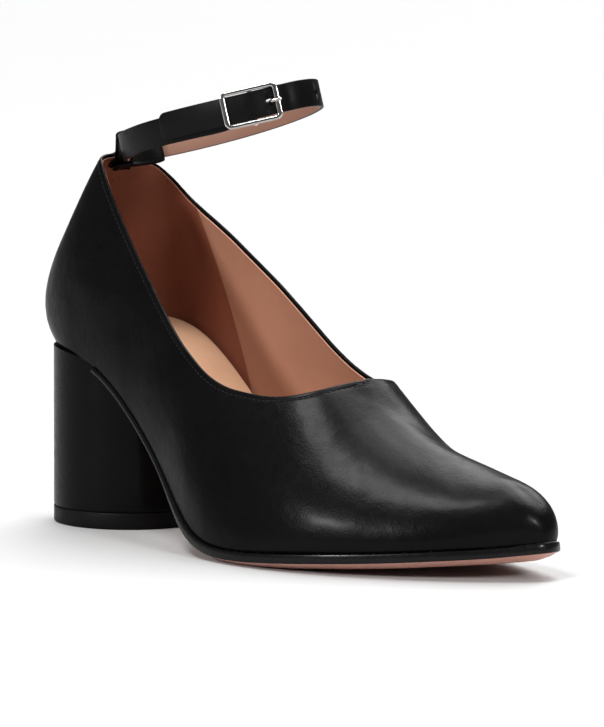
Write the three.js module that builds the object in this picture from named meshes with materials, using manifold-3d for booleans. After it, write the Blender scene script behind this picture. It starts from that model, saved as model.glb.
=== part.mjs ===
// A women's block heel pump with an ankle strap: the right shoe of a pair.
// Millimetres. +X runs to the toe, +Y to the inner side of the foot, +Z up.
// The origin is the centre of the heel's face on the floor.
import * as THREE from "three";
import { mergeVertices } from "three/addons/utils/BufferGeometryUtils.js";
import Module from "manifold-3d";

const wasm = await Module();
wasm.setup();

// Last: the form that the upper is pulled over
const lastLength = 233.2; // level length of the last's bottom edge
const ballWidth = 78; // width of the bottom edge at the ball
const heelHeight = 64; // floor to the bottom edge at the back
const toeSpring = 7.6; // how much higher the bottom edge is at the toe than at the ball
const instepHeight = 58; // bottom edge to the top of the instep
const throatReach = 152.5; // back of the seat to the front of the opening
const collarHeight = 134; // floor to the top edge at the back
const collarLean = 22.6; // how far the back of the opening lies in front of the seat's back

// Leather and soles
const clearance = 0.3; // between neighbouring pieces
const wall = 1.8; // upper with its lining
const insoleThickness = 8.5; // board with its padded lining
const insoleMargin = 0.6; // insole's top edge to the lining, over the clearance
const soleThickness = 5.6; // outsole at the ball
const waistShare = 0.6; // outsole's thickness under the arch, as a share of that
const soleEdge = 3.3; // height of the outsole's upright edge
const soleProud = 0.9; // how far that edge stands out past the upper
const soleBevel = 6.5; // width of the slope under the edge
const groundTrim = 0.3; // worn off under the ball, which gives the flat spot

// Heel
const heelRadius = 28; // at the top lift
const heelTaper = 0.2; // how much smaller the radius is at the seat
const topLift = 6; // height of the top lift
const topLiftBevel = 0.5;
const breastReach = 12; // where the outsole ends, in front of the heel's middle

// Ankle strap
const strapWidth = 9.8;
const strapThickness = 1.8;
const strapHalfLength = 40; // inside of the loop, front to back
const strapHalfWidth = 24; // inside of the loop, side to side
const strapHeight = 146; // floor to the middle of the loop
const strapForward = 43.5; // heel's middle to the middle of the loop
const strapAside = 5; // the loop's middle from the heel's, towards the inner side
const strapPitch = 15.8; // degrees, the loop's front is up
const strapTurn = 11; // degrees, the loop's front is turned inwards
const strapTip = 30; // free end past the buckle's centre bar
const holeSize = 1.8;
const holePitch = 20;
const holeCount = 3;

// Buckle
const buckleAt = 45; // degrees round the loop from its front, on the outer side
const buckleLength = 20.8;
const buckleRail = 1.9; // width of the frame's two ends
const buckleSideRail = 1.4; // width of its two long sides
const buckleThickness = 1.5;
const barRadius = 0.9; // centre bar
const prongThickness = 1.2;

// Back tab: the loop of leather that holds the strap
const tabWidth = 17.5;
const tabTurn = 4; // degrees from the loop's back, towards the inner side
const tabThickness = 1.3;
const tabFoot = 2.5; // how far its ends reach down inside the collar
const tabFootAside = 2.5; // how far its ends are shifted to the outer side
const tabTaper = 1; // its width at the collar, as a share of the width at the strap

// Derived places
const seatBack = -(heelRadius - heelTaper);
const ballHeight = soleThickness + clearance - groundTrim;
const throatX = seatBack + throatReach;
const collarX = seatBack + collarLean;

// The last's bottom edge, a row for each section from the back seam to the toe.
// along: share of the last's length. outer, inner: half widths, shares of the ball width.
// rise: share of the heel's rise. spring: share of the toe spring.
const bottomRows = [
  { along: 0.0, outer: 0.0, inner: 0.0, rise: 1.0, spring: 0 },
  { along: 0.025, outer: 0.199, inner: 0.199, rise: 1.0, spring: 0 },
  { along: 0.094, outer: 0.333, inner: 0.333, rise: 0.985, spring: 0 },
  { along: 0.179, outer: 0.359, inner: 0.333, rise: 0.897, spring: 0 },
  { along: 0.27, outer: 0.378, inner: 0.324, rise: 0.658, spring: 0 },
  { along: 0.355, outer: 0.423, inner: 0.315, rise: 0.366, spring: 0 },
  { along: 0.441, outer: 0.513, inner: 0.335, rise: 0.11, spring: 0 },
  { along: 0.527, outer: 0.583, inner: 0.385, rise: 0.0, spring: 0 },
  { along: 0.626, outer: 0.583, inner: 0.43, rise: 0.0, spring: 0 },
  { along: 0.72, outer: 0.519, inner: 0.432, rise: 0.0, spring: 0.2 },
  { along: 0.806, outer: 0.404, inner: 0.391, rise: 0.0, spring: 0.39 },
  { along: 0.883, outer: 0.263, inner: 0.335, rise: 0.0, spring: 0.6 },
  { along: 0.948, outer: 0.1, inner: 0.265, rise: 0.0, spring: 0.79 },
  { along: 0.986, outer: -0.036, inner: 0.215, rise: 0.0, spring: 0.94 },
  { along: 1.0, outer: -0.118, inner: 0.118, rise: 0.0, spring: 1.0 },
];

// The last's wall at the same sections.
// flare, lift: its lower handle, out by a share of the ball width, up by a share of the instep.
// topAlong, topAside, top: the centre line over the foot, shares of length, ball width and instep.
// crown, drop: its upper handle, out by a share of the ball width, down by a share of the instep.
const wallRows = [
  { flare: 0.293, lift: 0.356, topAlong: 0.145, topAside: 0, top: 1.477, crown: 0.284, drop: 0.47 },
  { flare: 0.219, lift: 0.309, topAlong: 0.155, topAside: 0, top: 1.483, crown: 0.219, drop: 0.376 },
  { flare: 0.058, lift: 0.34, topAlong: 0.175, topAside: 0, top: 1.476, crown: 0.294, drop: 0.039 },
  { flare: 0.063, lift: 0.42, topAlong: 0.229, topAside: 0, top: 1.466, crown: 0.265, drop: 0.002 },
  { flare: 0.046, lift: 0.472, topAlong: 0.295, topAside: 0, top: 1.483, crown: 0.284, drop: -0.036 },
  { flare: 0.045, lift: 0.483, topAlong: 0.364, topAside: 0, top: 1.517, crown: 0.3, drop: 0 },
  { flare: 0.032, lift: 0.448, topAlong: 0.437, topAside: 0.01, top: 1.483, crown: 0.32, drop: 0 },
  { flare: 0.025, lift: 0.372, topAlong: 0.518, topAside: 0.018, top: 1.335, crown: 0.327, drop: 0 },
  { flare: 0.025, lift: 0.321, topAlong: 0.609, topAside: 0.027, top: 1.119, crown: 0.326, drop: 0 },
  { flare: 0.031, lift: 0.28, topAlong: 0.694, topAside: 0.007, top: 0.812, crown: 0.299, drop: 0 },
  { flare: 0.033, lift: 0.23, topAlong: 0.772, topAside: 0.021, top: 0.6, crown: 0.229, drop: 0 },
  { flare: 0.043, lift: 0.223, topAlong: 0.836, topAside: 0.075, top: 0.477, crown: 0.215, drop: 0 },
  { flare: 0.049, lift: 0.208, topAlong: 0.888, topAside: 0.101, top: 0.392, crown: 0.176, drop: 0 },
  { flare: 0.046, lift: 0.184, topAlong: 0.922, topAside: 0.1, top: 0.348, crown: 0.136, drop: 0 },
  { flare: 0.047, lift: 0.17, topAlong: 0.935, topAside: 0.105, top: 0.32, crown: 0.113, drop: 0 },
];
const sections = bottomRows.map((row, i) => ({ ...row, ...wallRows[i] }));

// The top edge seen from the side. along: share of the way from the back of the collar to the throat.
// outer, inner: height on each side, as a share of the way from the throat's height up to the collar's.
const topline = [
  { along: -0.2, outer: 1.01, inner: 1.01 },
  { along: -0.015, outer: 0.995, inner: 0.995 },
  { along: 0.01, outer: 0.992, inner: 0.945 },
  { along: 0.035, outer: 0.985, inner: 0.87 },
  { along: 0.086, outer: 0.938, inner: 0.767 },
  { along: 0.147, outer: 0.816, inner: 0.701 },
  { along: 0.208, outer: 0.688, inner: 0.649 },
  { along: 0.279, outer: 0.546, inner: 0.583 },
  { along: 0.35, outer: 0.408, inner: 0.511 },
  { along: 0.421, outer: 0.275, inner: 0.444 },
  { along: 0.492, outer: 0.161, inner: 0.375 },
  { along: 0.563, outer: 0.072, inner: 0.288 },
  { along: 0.634, outer: 0, inner: 0.192 },
  { along: 0.706, outer: -0.045, inner: 0.09 },
  { along: 0.777, outer: -0.064, inner: 0.003 },
  { along: 0.848, outer: -0.073, inner: -0.052 },
  { along: 0.909, outer: -0.063, inner: -0.062 },
  { along: 0.959, outer: -0.036, inner: -0.036 },
  { along: 1, outer: 0, inner: 0 },
];

// Materials
const blackLeather = () => new THREE.MeshStandardMaterial({ color: 0x161618, roughness: 0.38, metalness: 0 });
const tanLeather = () => new THREE.MeshStandardMaterial({ color: 0xcf9f82, roughness: 0.6, metalness: 0 });
const soleLeather = () => new THREE.MeshStandardMaterial({ color: 0xb4766a, roughness: 0.55, metalness: 0 });
const blackRubber = () => new THREE.MeshStandardMaterial({ color: 0x1a1a1b, roughness: 0.7, metalness: 0 });
const silver = () => new THREE.MeshStandardMaterial({ color: 0xd8d8d6, roughness: 0.22, metalness: 1 });

// Splines through table rows

// A smooth closed curve through values at whole numbers, read at any place along it.
function closedSpline(values) {
  const count = values.length;
  const bends = new Array(count).fill(0);
  const passes = 60;
  for (let pass = 0; pass < passes; pass++) {
    for (let i = 0; i < count; i++) {
      const before = (i + count - 1) % count;
      const after = (i + 1) % count;
      const second = values[before] - 2 * values[i] + values[after];
      bends[i] = (6 * second - bends[before] - bends[after]) / 4;
    }
  }
  return (place) => {
    const wrapped = ((place % count) + count) % count;
    const i = Math.floor(wrapped) % count;
    const j = (i + 1) % count;
    const b = wrapped - Math.floor(wrapped);
    const a = 1 - b;
    const bend = (a * a * a - a) * bends[i] + (b * b * b - b) * bends[j];
    return a * values[i] + b * values[j] + bend / 6;
  };
}

// A smooth open curve through [x, y] pairs with rising x.
function openSpline(pairs) {
  const last = pairs.length - 1;
  const tangents = pairs.map((pair, i) => {
    const before = pairs[Math.max(i - 1, 0)];
    const after = pairs[Math.min(i + 1, last)];
    return (after[1] - before[1]) / (after[0] - before[0]);
  });
  return (x) => {
    let i = 0;
    while (i < last - 1 && x > pairs[i + 1][0]) i++;
    const [x0, y0] = pairs[i];
    const [x1, y1] = pairs[i + 1];
    const width = x1 - x0;
    const t = (x - x0) / width;
    if (t < 0) return y0;
    if (t > 1) return y1;
    const rest = 1 - t;
    return (
      y0 * rest * rest * (1 + 2 * t) +
      y1 * t * t * (1 + 2 * rest) +
      width * t * rest * (tangents[i] * rest - tangents[i + 1] * t)
    );
  };
}

// The place between low and high where a rising function passes zero.
function solve(rising, low, high) {
  const halvings = 44;
  for (let i = 0; i < halvings; i++) {
    const middle = (low + high) / 2;
    if (rising(middle) > 0) high = middle;
    else low = middle;
  }
  return (low + high) / 2;
}

// The last as a surface: place runs round its bottom edge, from the back seam along the outer side
// to the toe and back along the inner side; up runs from the bottom edge to the centre line on top.
const toePlace = sections.length - 1;
const aroundLast = (value) => {
  const outer = sections.map((row) => value(row, -1));
  const inner = sections.slice(1, toePlace).map((row) => value(row, 1));
  return closedSpline([...outer, ...inner.reverse()]);
};
const sideways = (row, side) => {
  if (row === sections[toePlace]) return ((row.inner - row.outer) / 2) * ballWidth;
  return (side < 0 ? -row.outer : row.inner) * ballWidth;
};
const rowHeight = (row) => ballHeight + row.rise * (heelHeight - ballHeight) + row.spring * toeSpring;
const edgeX = aroundLast((row) => seatBack + row.along * lastLength);
const edgeY = aroundLast(sideways);
const edgeZ = aroundLast(rowHeight);
const crestX = aroundLast((row) => seatBack + row.topAlong * lastLength);
const crestY = aroundLast((row) => row.topAside * ballWidth);
const crestZ = aroundLast((row) => rowHeight(row) + row.top * instepHeight);
const flareOf = aroundLast((row) => row.flare * ballWidth);
const liftOf = aroundLast((row) => row.lift * instepHeight);
const crownOf = aroundLast((row) => row.crown * ballWidth);
const dropOf = aroundLast((row) => row.drop * instepHeight);

const tiny = 1e-3;
const bottomEdge = (place) => new THREE.Vector3(edgeX(place), edgeY(place), edgeZ(place));
const crest = (place) => new THREE.Vector3(crestX(place), crestY(place), crestZ(place));

// Level direction out of the last at its bottom edge
function outward(place) {
  const step = bottomEdge(place + tiny).sub(bottomEdge(place - tiny));
  return new THREE.Vector3(step.y, -step.x, 0).normalize();
}

// Slope of the centre line over the foot, and of the bottom
const inRange = (place) => {
  const folded = place > toePlace ? 2 * toePlace - place : place;
  return Math.min(Math.max(folded, 0.05), toePlace - 0.05);
};
function slopeOf(curve, place) {
  const at = inRange(place);
  const step = curve(at + tiny).sub(curve(at - tiny));
  return step.z / step.x;
}

function lastPoint(place, up) {
  const foot = bottomEdge(place);
  const top = crest(place);
  const out = outward(place);
  const crown = crownOf(place);
  const low = foot.clone().addScaledVector(out, flareOf(place));
  low.z += liftOf(place);
  const high = top.clone().addScaledVector(out, crown);
  high.z += slopeOf(crest, place) * out.x * crown - dropOf(place);
  return new THREE.CubicBezierCurve3(foot, low, high, top).getPoint(up);
}

// Direction out of the last's surface
function lastNormal(place, up) {
  if (up > 1 - tiny) return new THREE.Vector3(-slopeOf(crest, place), 0, 1).normalize();
  const low = Math.max(up - tiny, 0);
  const along = lastPoint(place + tiny, up).sub(lastPoint(place - tiny, up));
  const rising = lastPoint(place, up + tiny).sub(lastPoint(place, low));
  return along.cross(rising).normalize();
}

// Top edge of the upper: where the last's surface meets the side view's line
const throatPlace = solve((place) => crestX(place) - throatX, toePlace * 0.4, toePlace * 0.9);
const throatZ = crestZ(throatPlace);
const sideLine = (side) =>
  openSpline(
    topline.map((row) => [
      collarX + row.along * (throatX - collarX),
      throatZ + row[side] * (collarHeight - throatZ),
    ]),
  );
const outerLine = sideLine("outer");
const innerLine = sideLine("inner");
function topOf(place) {
  const folded = place > toePlace ? 2 * toePlace - place : place;
  if (folded >= throatPlace - tiny * tiny) return 1;
  const line = place > toePlace ? innerLine : outerLine;
  return solve((up) => {
    const point = lastPoint(place, up);
    return point.z - line(point.x);
  }, 0.1, 1);
}

// Triangles to a closed solid, facing out
function closed(triangles) {
  const positions = new Float32Array(triangles.length * 9);
  triangles.flat().forEach((corner, i) => corner.toArray(positions, i * 3));
  const loose = new THREE.BufferGeometry().setAttribute("position", new THREE.BufferAttribute(positions, 3));
  const merged = mergeVertices(loose, tiny);
  const source = merged.index.array;
  const index = [];
  for (let i = 0; i < source.length; i += 3) {
    const [a, b, c] = [source[i], source[i + 1], source[i + 2]];
    if (a !== b && b !== c && c !== a) index.push(a, b, c);
  }
  merged.setIndex(index);
  return volumeOf(merged) < 0 ? turnedOver(merged) : merged;
}

function volumeOf(geometry) {
  const place = geometry.attributes.position;
  const index = geometry.index.array;
  const corner = (i) => new THREE.Vector3().fromBufferAttribute(place, index[i]);
  let sum = 0;
  for (let i = 0; i < index.length; i += 3) sum += corner(i).dot(corner(i + 1).cross(corner(i + 2))) / 6;
  return sum;
}

function turnedOver(geometry) {
  const index = Array.from(geometry.index.array);
  for (let i = 0; i < index.length; i += 3) [index[i + 1], index[i + 2]] = [index[i + 2], index[i + 1]];
  geometry.setIndex(index);
  return geometry;
}

const quad = (a, b, c, d) => [
  [a, b, c],
  [a, c, d],
];

// A solid through rings of points. A ring runs down one side and up the other, so its ends close as strips.
function loft(rings) {
  const count = rings[0].length;
  const triangles = [];
  for (let i = 0; i + 1 < rings.length; i++) {
    for (let k = 0; k < count; k++) {
      const next = (k + 1) % count;
      triangles.push(...quad(rings[i][k], rings[i][next], rings[i + 1][next], rings[i + 1][k]));
    }
  }
  const cap = (ring) => {
    const strips = [];
    for (let k = 0; k < count / 2 - 1; k++) {
      strips.push(...quad(ring[k], ring[count - 1 - k], ring[count - 2 - k], ring[k + 1]));
    }
    return strips;
  };
  const start = cap(rings[0]);
  const end = cap(rings[rings.length - 1]).map(([a, b, c]) => [a, c, b]);
  return closed([...triangles, ...start, ...end]);
}

// Cutting with manifold solids
function manifoldOf(geometry) {
  const bare = new THREE.BufferGeometry().setAttribute("position", geometry.attributes.position);
  bare.setIndex(geometry.index);
  const merged = mergeVertices(bare, tiny);
  return new wasm.Manifold(
    new wasm.Mesh({
      numProp: 3,
      vertProperties: new Float32Array(merged.attributes.position.array),
      triVerts: new Uint32Array(merged.index.array),
    }),
  );
}

function geometryOf(manifold) {
  const mesh = manifold.getMesh();
  const geometry = new THREE.BufferGeometry();
  geometry.setAttribute("position", new THREE.BufferAttribute(new Float32Array(mesh.vertProperties), 3));
  geometry.setIndex(Array.from(mesh.triVerts));
  return geometry;
}

const cut = (geometry, tools) =>
  geometryOf(tools.reduce((rest, tool) => rest.subtract(manifoldOf(tool)), manifoldOf(geometry)));
const joined = (pieces) =>
  geometryOf(pieces.slice(1).reduce((sum, piece) => sum.add(manifoldOf(piece)), manifoldOf(pieces[0])));

// Upper: the last's surface as a wall, open at the top edge and underneath

// Places along one side, closer together towards the throat's corner
const rearSteps = 26;
const vampSteps = 18;
const wallSteps = 12;
const crowding = 1.5;
function sidePlaces() {
  const places = [];
  for (let i = 0; i < rearSteps; i++) places.push(throatPlace * (1 - (1 - i / rearSteps) ** crowding));
  for (let i = 0; i <= vampSteps; i++) places.push(throatPlace + ((toePlace - throatPlace) * i) / vampSteps);
  return places;
}

function upperGeometry() {
  const oneSide = sidePlaces();
  const otherSide = oneSide.slice(1, -1).map((place) => 2 * toePlace - place);
  const places = [...oneSide, ...otherSide.reverse()];
  const columns = places.map((place) => {
    const top = topOf(place);
    const outside = [];
    const inside = [];
    for (let j = 0; j <= wallSteps; j++) {
      const up = (top * j) / wallSteps;
      const point = lastPoint(place, up);
      outside.push(point);
      inside.push(point.clone().addScaledVector(lastNormal(place, up), -wall));
    }
    return { outside, inside, open: top < 1 };
  });
  const triangles = [];
  columns.forEach((column, i) => {
    const next = columns[(i + 1) % columns.length];
    for (let j = 0; j < wallSteps; j++) {
      triangles.push(...quad(column.outside[j], next.outside[j], next.outside[j + 1], column.outside[j + 1]));
      triangles.push(...quad(column.inside[j], column.inside[j + 1], next.inside[j + 1], next.inside[j]));
    }
    triangles.push(...quad(column.inside[0], next.inside[0], next.outside[0], column.outside[0]));
    if (column.open || next.open) {
      const rim = [column.outside, next.outside, next.inside, column.inside];
      triangles.push(...quad(...rim.map((side) => side[wallSteps])));
    }
  });
  return closed(triangles);
}

// Bottom pieces: points measured in from the last's bottom edge, along the bottom, and down from it
function underPoint(place, inset, depth) {
  const slope = slopeOf(bottomEdge, place);
  const down = new THREE.Vector3(slope, 0, -1).normalize();
  const inwards = outward(place).multiplyScalar(-1);
  inwards.z = slope * inwards.x;
  return bottomEdge(place).addScaledVector(inwards, inset).addScaledVector(down, depth);
}

// Rings across the shoe, each from one side's profile and its mirror. A profile is [inset, depth] pairs.
function acrossRings(from, to, steps, profileAt, shaped) {
  const rings = [];
  for (let i = 0; i <= steps; i++) {
    const at = from + ((to - from) * i) / steps;
    const profile = profileAt(at);
    const sides = [at, 2 * toePlace - at].map((place) =>
      profile.map(([inset, depth]) => shaped(underPoint(place, inset, depth))),
    );
    rings.push([...sides[0], ...sides[1].reverse()]);
  }
  return rings;
}

// The insole fills the upper's bottom: its side follows the lining at three heights
function insoleGeometry() {
  const levels = [1, 0.5, 0];
  const rings = sidePlaces().map((at) => {
    const sides = [at, 2 * toePlace - at].map((place) => levels.map((level) => insolePoint(place, level)));
    return [...sides[0], ...sides[1].reverse()];
  });
  return loft(rings);
}

function insolePoint(place, level) {
  const height = edgeZ(place) + level * insoleThickness;
  const up = level === 0 ? 0 : solve((share) => lastPoint(place, share).z - height, 0, 0.5);
  const away = wall + clearance + level * insoleMargin;
  const flat = lastNormal(place, up).setZ(0);
  return lastPoint(place, up).addScaledVector(flat, -away / flat.lengthSq());
}

const heelSides = 48;
const heelCutter = () =>
  new THREE.CylinderGeometry(heelRadius + clearance, heelRadius + clearance, 3 * heelHeight, heelSides)
    .rotateX(Math.PI / 2);

function outsoleGeometry() {
  const rear = solve((place) => edgeX(place) - breastReach, 1, toePlace / 2);
  const waistRise = 0.4 * (heelHeight - ballHeight);
  const profileAt = (place) => {
    const risen = THREE.MathUtils.smoothstep(edgeZ(place) - ballHeight, toeSpring * 0.1, waistRise);
    const share = place < toePlace / 2 ? 1 - (1 - waistShare) * risen : 1;
    return [
      [-soleProud * share, clearance],
      [-soleProud * share, clearance + soleEdge * share],
      [soleBevel, clearance + soleThickness * share],
    ];
  };
  const onFloor = (point) => point.setZ(Math.max(point.z, 0));
  const steps = 48;
  return cut(loft(acrossRings(rear, toePlace, steps, profileAt, onFloor)), [bare(heelCutter())]);
}

// A geometry with its positions alone, and shared corners merged
function bare(geometry) {
  const plain = geometry.index ? geometry.toNonIndexed() : geometry;
  return mergeVertices(
    new THREE.BufferGeometry().setAttribute("position", plain.attributes.position),
    tiny,
  );
}

// Heel block: a round column whose top follows the seat
function heelGeometry() {
  const rings = [];
  const half = heelSides / 2;
  const bottomZ = topLift + clearance;
  const seatZ = (x) => {
    const place = solve((at) => edgeX(at) - Math.max(x, seatBack + tiny), 0, toePlace / 2);
    return edgeZ(place) - clearance * Math.hypot(1, slopeOf(bottomEdge, place));
  };
  for (let i = 0; i <= half; i++) {
    const angle = Math.PI - (Math.PI * i) / half;
    const column = (side) =>
      [0, 1].map((low) => {
        const radius = low ? heelRadius : heelRadius - heelTaper;
        const x = radius * Math.cos(angle);
        return new THREE.Vector3(x, side * radius * Math.sin(angle), low ? bottomZ : seatZ(x));
      });
    rings.push([...column(-1), ...column(1).reverse()]);
  }
  return loft(rings);
}

function topLiftGeometry() {
  const profile = [
    [0, 0],
    [heelRadius - topLiftBevel, 0],
    [heelRadius, topLiftBevel],
    [heelRadius, topLift],
    [0, topLift],
  ].map(([radius, z]) => new THREE.Vector2(radius, z));
  return new THREE.LatheGeometry(profile, heelSides).rotateX(Math.PI / 2);
}

// Ankle strap: a planar loop, drawn flat and then pitched and turned into place
const strapGroup = new THREE.Group();
strapGroup.position.set(strapForward, strapAside, strapHeight);
strapGroup.rotation.set(0, -THREE.MathUtils.degToRad(strapPitch), THREE.MathUtils.degToRad(strapTurn), "ZYX");
strapGroup.updateMatrixWorld(true);

// A point of the loop: turn in degrees from the front, through the outer side; off: outwards from its inside
function loopPoint(turn, off) {
  const angle = THREE.MathUtils.degToRad(turn);
  const out = new THREE.Vector2(Math.cos(angle) / strapHalfLength, -Math.sin(angle) / strapHalfWidth);
  const on = new THREE.Vector2(strapHalfLength * Math.cos(angle), -strapHalfWidth * Math.sin(angle));
  return on.addScaledVector(out.normalize(), off);
}

// The buckle's own frame on the flat loop: ahead runs along the strap to the front, out away from the ankle
const buckleOrigin = loopPoint(buckleAt, 0);
const buckleOut = loopPoint(buckleAt, 1).sub(buckleOrigin);
const buckleAhead = new THREE.Vector2(-buckleOut.y, buckleOut.x);
const atBuckle = (ahead, out) =>
  buckleOrigin.clone().addScaledVector(buckleAhead, ahead).addScaledVector(buckleOut, out);

const barOut = -0.2; // centre bar's middle, out from the loop's inside line
const eyeRadius = barRadius + clearance + 0.95; // end of the strap round the bar
const fixedOut = strapThickness / 2; // fixed strap's middle
const freeOut = barOut + eyeRadius + clearance + strapThickness / 2; // free end's middle over the bar
const layered = strapThickness + clearance + strapThickness / 2; // free end's middle over the fixed strap
const flatReach = buckleLength / 2 + 3; // the strap is straight as far as this each side of the bar
const loopGap = 24; // degrees round the loop from the bar to where the strap follows the loop
const turnPerLength = 1.72; // degrees of the loop for a millimetre of the tip

// The strap's middle line at the buckle, ahead of the bar and out from the loop's inside line
const fixedLine = [
  { ahead: 0, out: barOut },
  { ahead: -3.5, out: fixedOut - 0.8 },
  { ahead: -7, out: fixedOut - 0.55 },
];
const freeLine = [
  { ahead: flatReach - 4, out: fixedOut - 0.15 },
  { ahead: 4.6, out: freeOut - 1.05 },
  { ahead: 0, out: freeOut },
  { ahead: -4.6, out: freeOut - 0.2 },
  { ahead: 4 - flatReach, out: layered - 0.65 },
];

// How high the strap's middle lies, along its length from the bar to the tip: it hangs a little beside
// the buckle, rises at the front of the loop, and its free end rises again behind the buckle
const strapRises = [
  { along: 0, up: 0 },
  { along: 0.012, up: 0 },
  { along: 0.03, up: -0.9 },
  { along: 0.05, up: -1.4 },
  { along: 0.1, up: -0.9 },
  { along: 0.15, up: -0.3 },
  { along: 0.2, up: 0 },
  { along: 0.5, up: 0 },
  { along: 0.6, up: 0.3 },
  { along: 0.7, up: 0.8 },
  { along: 0.77, up: 0.9 },
  { along: 0.82, up: 0.35 },
  { along: 0.84, up: 0.12 },
  { along: 0.87, up: 0 },
  { along: 1, up: 0.9 },
];
const riseAt = openSpline(strapRises.map((row) => [row.along, row.up]));

// Middle line of the whole strap, from the eye round the back to the free end
function strapPath() {
  const start = buckleAt + loopGap;
  const tipTurn = turnPerLength * (strapTip - flatReach);
  const arc = (turn, steps, off) =>
    Array.from({ length: steps + 1 }, (_, i) => loopPoint(start + (turn * i) / steps, off));
  return new THREE.SplineCurve([
    ...fixedLine.map(({ ahead, out }) => atBuckle(ahead, out)),
    ...arc(360 - 2 * loopGap, 44, fixedOut),
    ...freeLine.map(({ ahead, out }) => atBuckle(ahead, out)),
    ...arc(tipTurn, 4, layered),
  ]);
}

// The strap's band along its middle line
function bandGeometry(path, steps) {
  const rings = [];
  for (let i = 0; i <= steps; i++) {
    const share = i / steps;
    const point = path.getPointAt(share);
    const tangent = path.getTangentAt(share);
    const middle = riseAt(share);
    const corner = (side, end) =>
      new THREE.Vector3(
        point.x - (side * tangent.y * strapThickness) / 2,
        point.y + (side * tangent.x * strapThickness) / 2,
        middle + (end * strapWidth) / 2,
      );
    rings.push([corner(1, -1), corner(1, 1), corner(-1, 1), corner(-1, -1)]);
  }
  return loft(rings);
}

// Turned into the buckle's frame: x ahead, y out, z up
function setAtBuckle(geometry) {
  const angle = Math.atan2(buckleAhead.y, buckleAhead.x);
  return geometry.rotateZ(angle).translate(buckleOrigin.x, buckleOrigin.y, 0);
}

const prongHole = 6.4; // ahead of the bar
const prongSlot = prongThickness + 2 * clearance + 0.4; // in the strap's end, for the prong's ring
const prongBore = barRadius + 0.25; // radius of that ring's hole

function strapGeometry() {
  const path = strapPath();
  const band = bandGeometry(path, 150);
  const roundBar = (radius, width) =>
    bare(setAtBuckle(new THREE.CylinderGeometry(radius, radius, width, 20).rotateX(Math.PI / 2)
      .translate(0, barOut, 0)));
  const eye = roundBar(eyeRadius, strapWidth);
  const bore = roundBar(barRadius + clearance, strapWidth + 2);
  const slot = setAtBuckle(new THREE.BoxGeometry(2 * eyeRadius + 1, 2 * eyeRadius + 0.2, prongSlot)
    .translate(0.4, barOut, 0));
  return cut(joined([band, eye]), [bore, bare(slot), ...strapHoles(path), ...tipCorners(path)]);
}

// Round holes through the free end, the first where the prong passes
function strapHoles(path) {
  const length = path.getLength();
  const first = nearestOn(path, atBuckle(prongHole, 1.6));
  const holes = [];
  for (let i = 0; i < holeCount; i++) {
    const share = first - (i * holePitch) / length;
    const point = path.getPointAt(share);
    const tangent = path.getTangentAt(share);
    const hole = new THREE.CylinderGeometry(holeSize / 2, holeSize / 2, 2 * strapThickness, 12);
    if (i === 0) hole.scale(1.5, 1, 1);
    hole.rotateZ(Math.atan2(tangent.y, tangent.x)).translate(point.x, point.y, riseAt(share));
    holes.push(bare(hole));
  }
  return holes;
}

// Share of the path, on its free end, that lies nearest a point
function nearestOn(path, point) {
  const samples = 400;
  let best = 1;
  for (let i = samples * 0.7; i <= samples; i++) {
    const share = i / samples;
    if (path.getPointAt(share).distanceTo(point) < path.getPointAt(best).distanceTo(point)) best = share;
  }
  return best;
}

// The corners cut off the free end
function tipCorners(path) {
  const end = path.getPointAt(1);
  const tangent = path.getTangentAt(1);
  const chamfer = strapWidth * 0.36;
  return [-1, 1].map((side) => {
    const corner = new THREE.BoxGeometry(chamfer, 2 * strapThickness, chamfer);
    corner.rotateY(Math.PI / 4).translate(0, 0, (side * strapWidth) / 2);
    corner.rotateZ(Math.atan2(tangent.y, tangent.x)).translate(end.x, end.y, riseAt(1));
    return bare(corner);
  });
}

// Buckle frame: a rounded ring over the free end, with its centre bar held under it by two lugs
const frameHalfWidth = strapWidth / 2 + clearance + buckleSideRail;
const frameOut = freeOut + strapThickness / 2 - buckleThickness; // underside of the ring at the bar
const frameTilt = -0.075; // radians, its front end is nearer the ankle

function buckleFrameGeometry() {
  const ring = roundedRectangle(buckleLength / 2, frameHalfWidth, 2.4);
  ring.holes.push(roundedRectangle(buckleLength / 2 - buckleRail, frameHalfWidth - buckleSideRail, 1.1));
  const plate = new THREE.ExtrudeGeometry(ring, {
    depth: buckleThickness,
    bevelEnabled: false,
    curveSegments: 4,
  });
  plate.rotateX(-Math.PI / 2).rotateZ(frameTilt).translate(0, frameOut, 0);
  const bar = new THREE.CylinderGeometry(barRadius, barRadius, 2 * frameHalfWidth - 0.6, 16);
  bar.rotateX(Math.PI / 2).translate(0, barOut, 0);
  const lugHeight = frameOut + buckleThickness / 2 - barOut + barRadius;
  const lugs = [-1, 1].map((side) => {
    const lug = new THREE.BoxGeometry(2 * barRadius + 0.6, lugHeight, buckleSideRail - 0.2);
    const middle = (strapWidth + buckleSideRail) / 2 + clearance;
    return lug.translate(0, barOut - barRadius + lugHeight / 2, side * middle);
  });
  return setAtBuckle(joined([plate, bar, ...lugs].map(bare)));
}

function roundedRectangle(halfLength, halfWidth, radius) {
  const shape = new THREE.Shape();
  shape.moveTo(-halfLength + radius, -halfWidth);
  shape.lineTo(halfLength - radius, -halfWidth);
  shape.absarc(halfLength - radius, -halfWidth + radius, radius, -Math.PI / 2, 0);
  shape.absarc(halfLength - radius, halfWidth - radius, radius, 0, Math.PI / 2);
  shape.absarc(-halfLength + radius, halfWidth - radius, radius, Math.PI / 2, Math.PI);
  shape.absarc(-halfLength + radius, -halfWidth + radius, radius, Math.PI, 1.5 * Math.PI);
  return shape;
}

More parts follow.
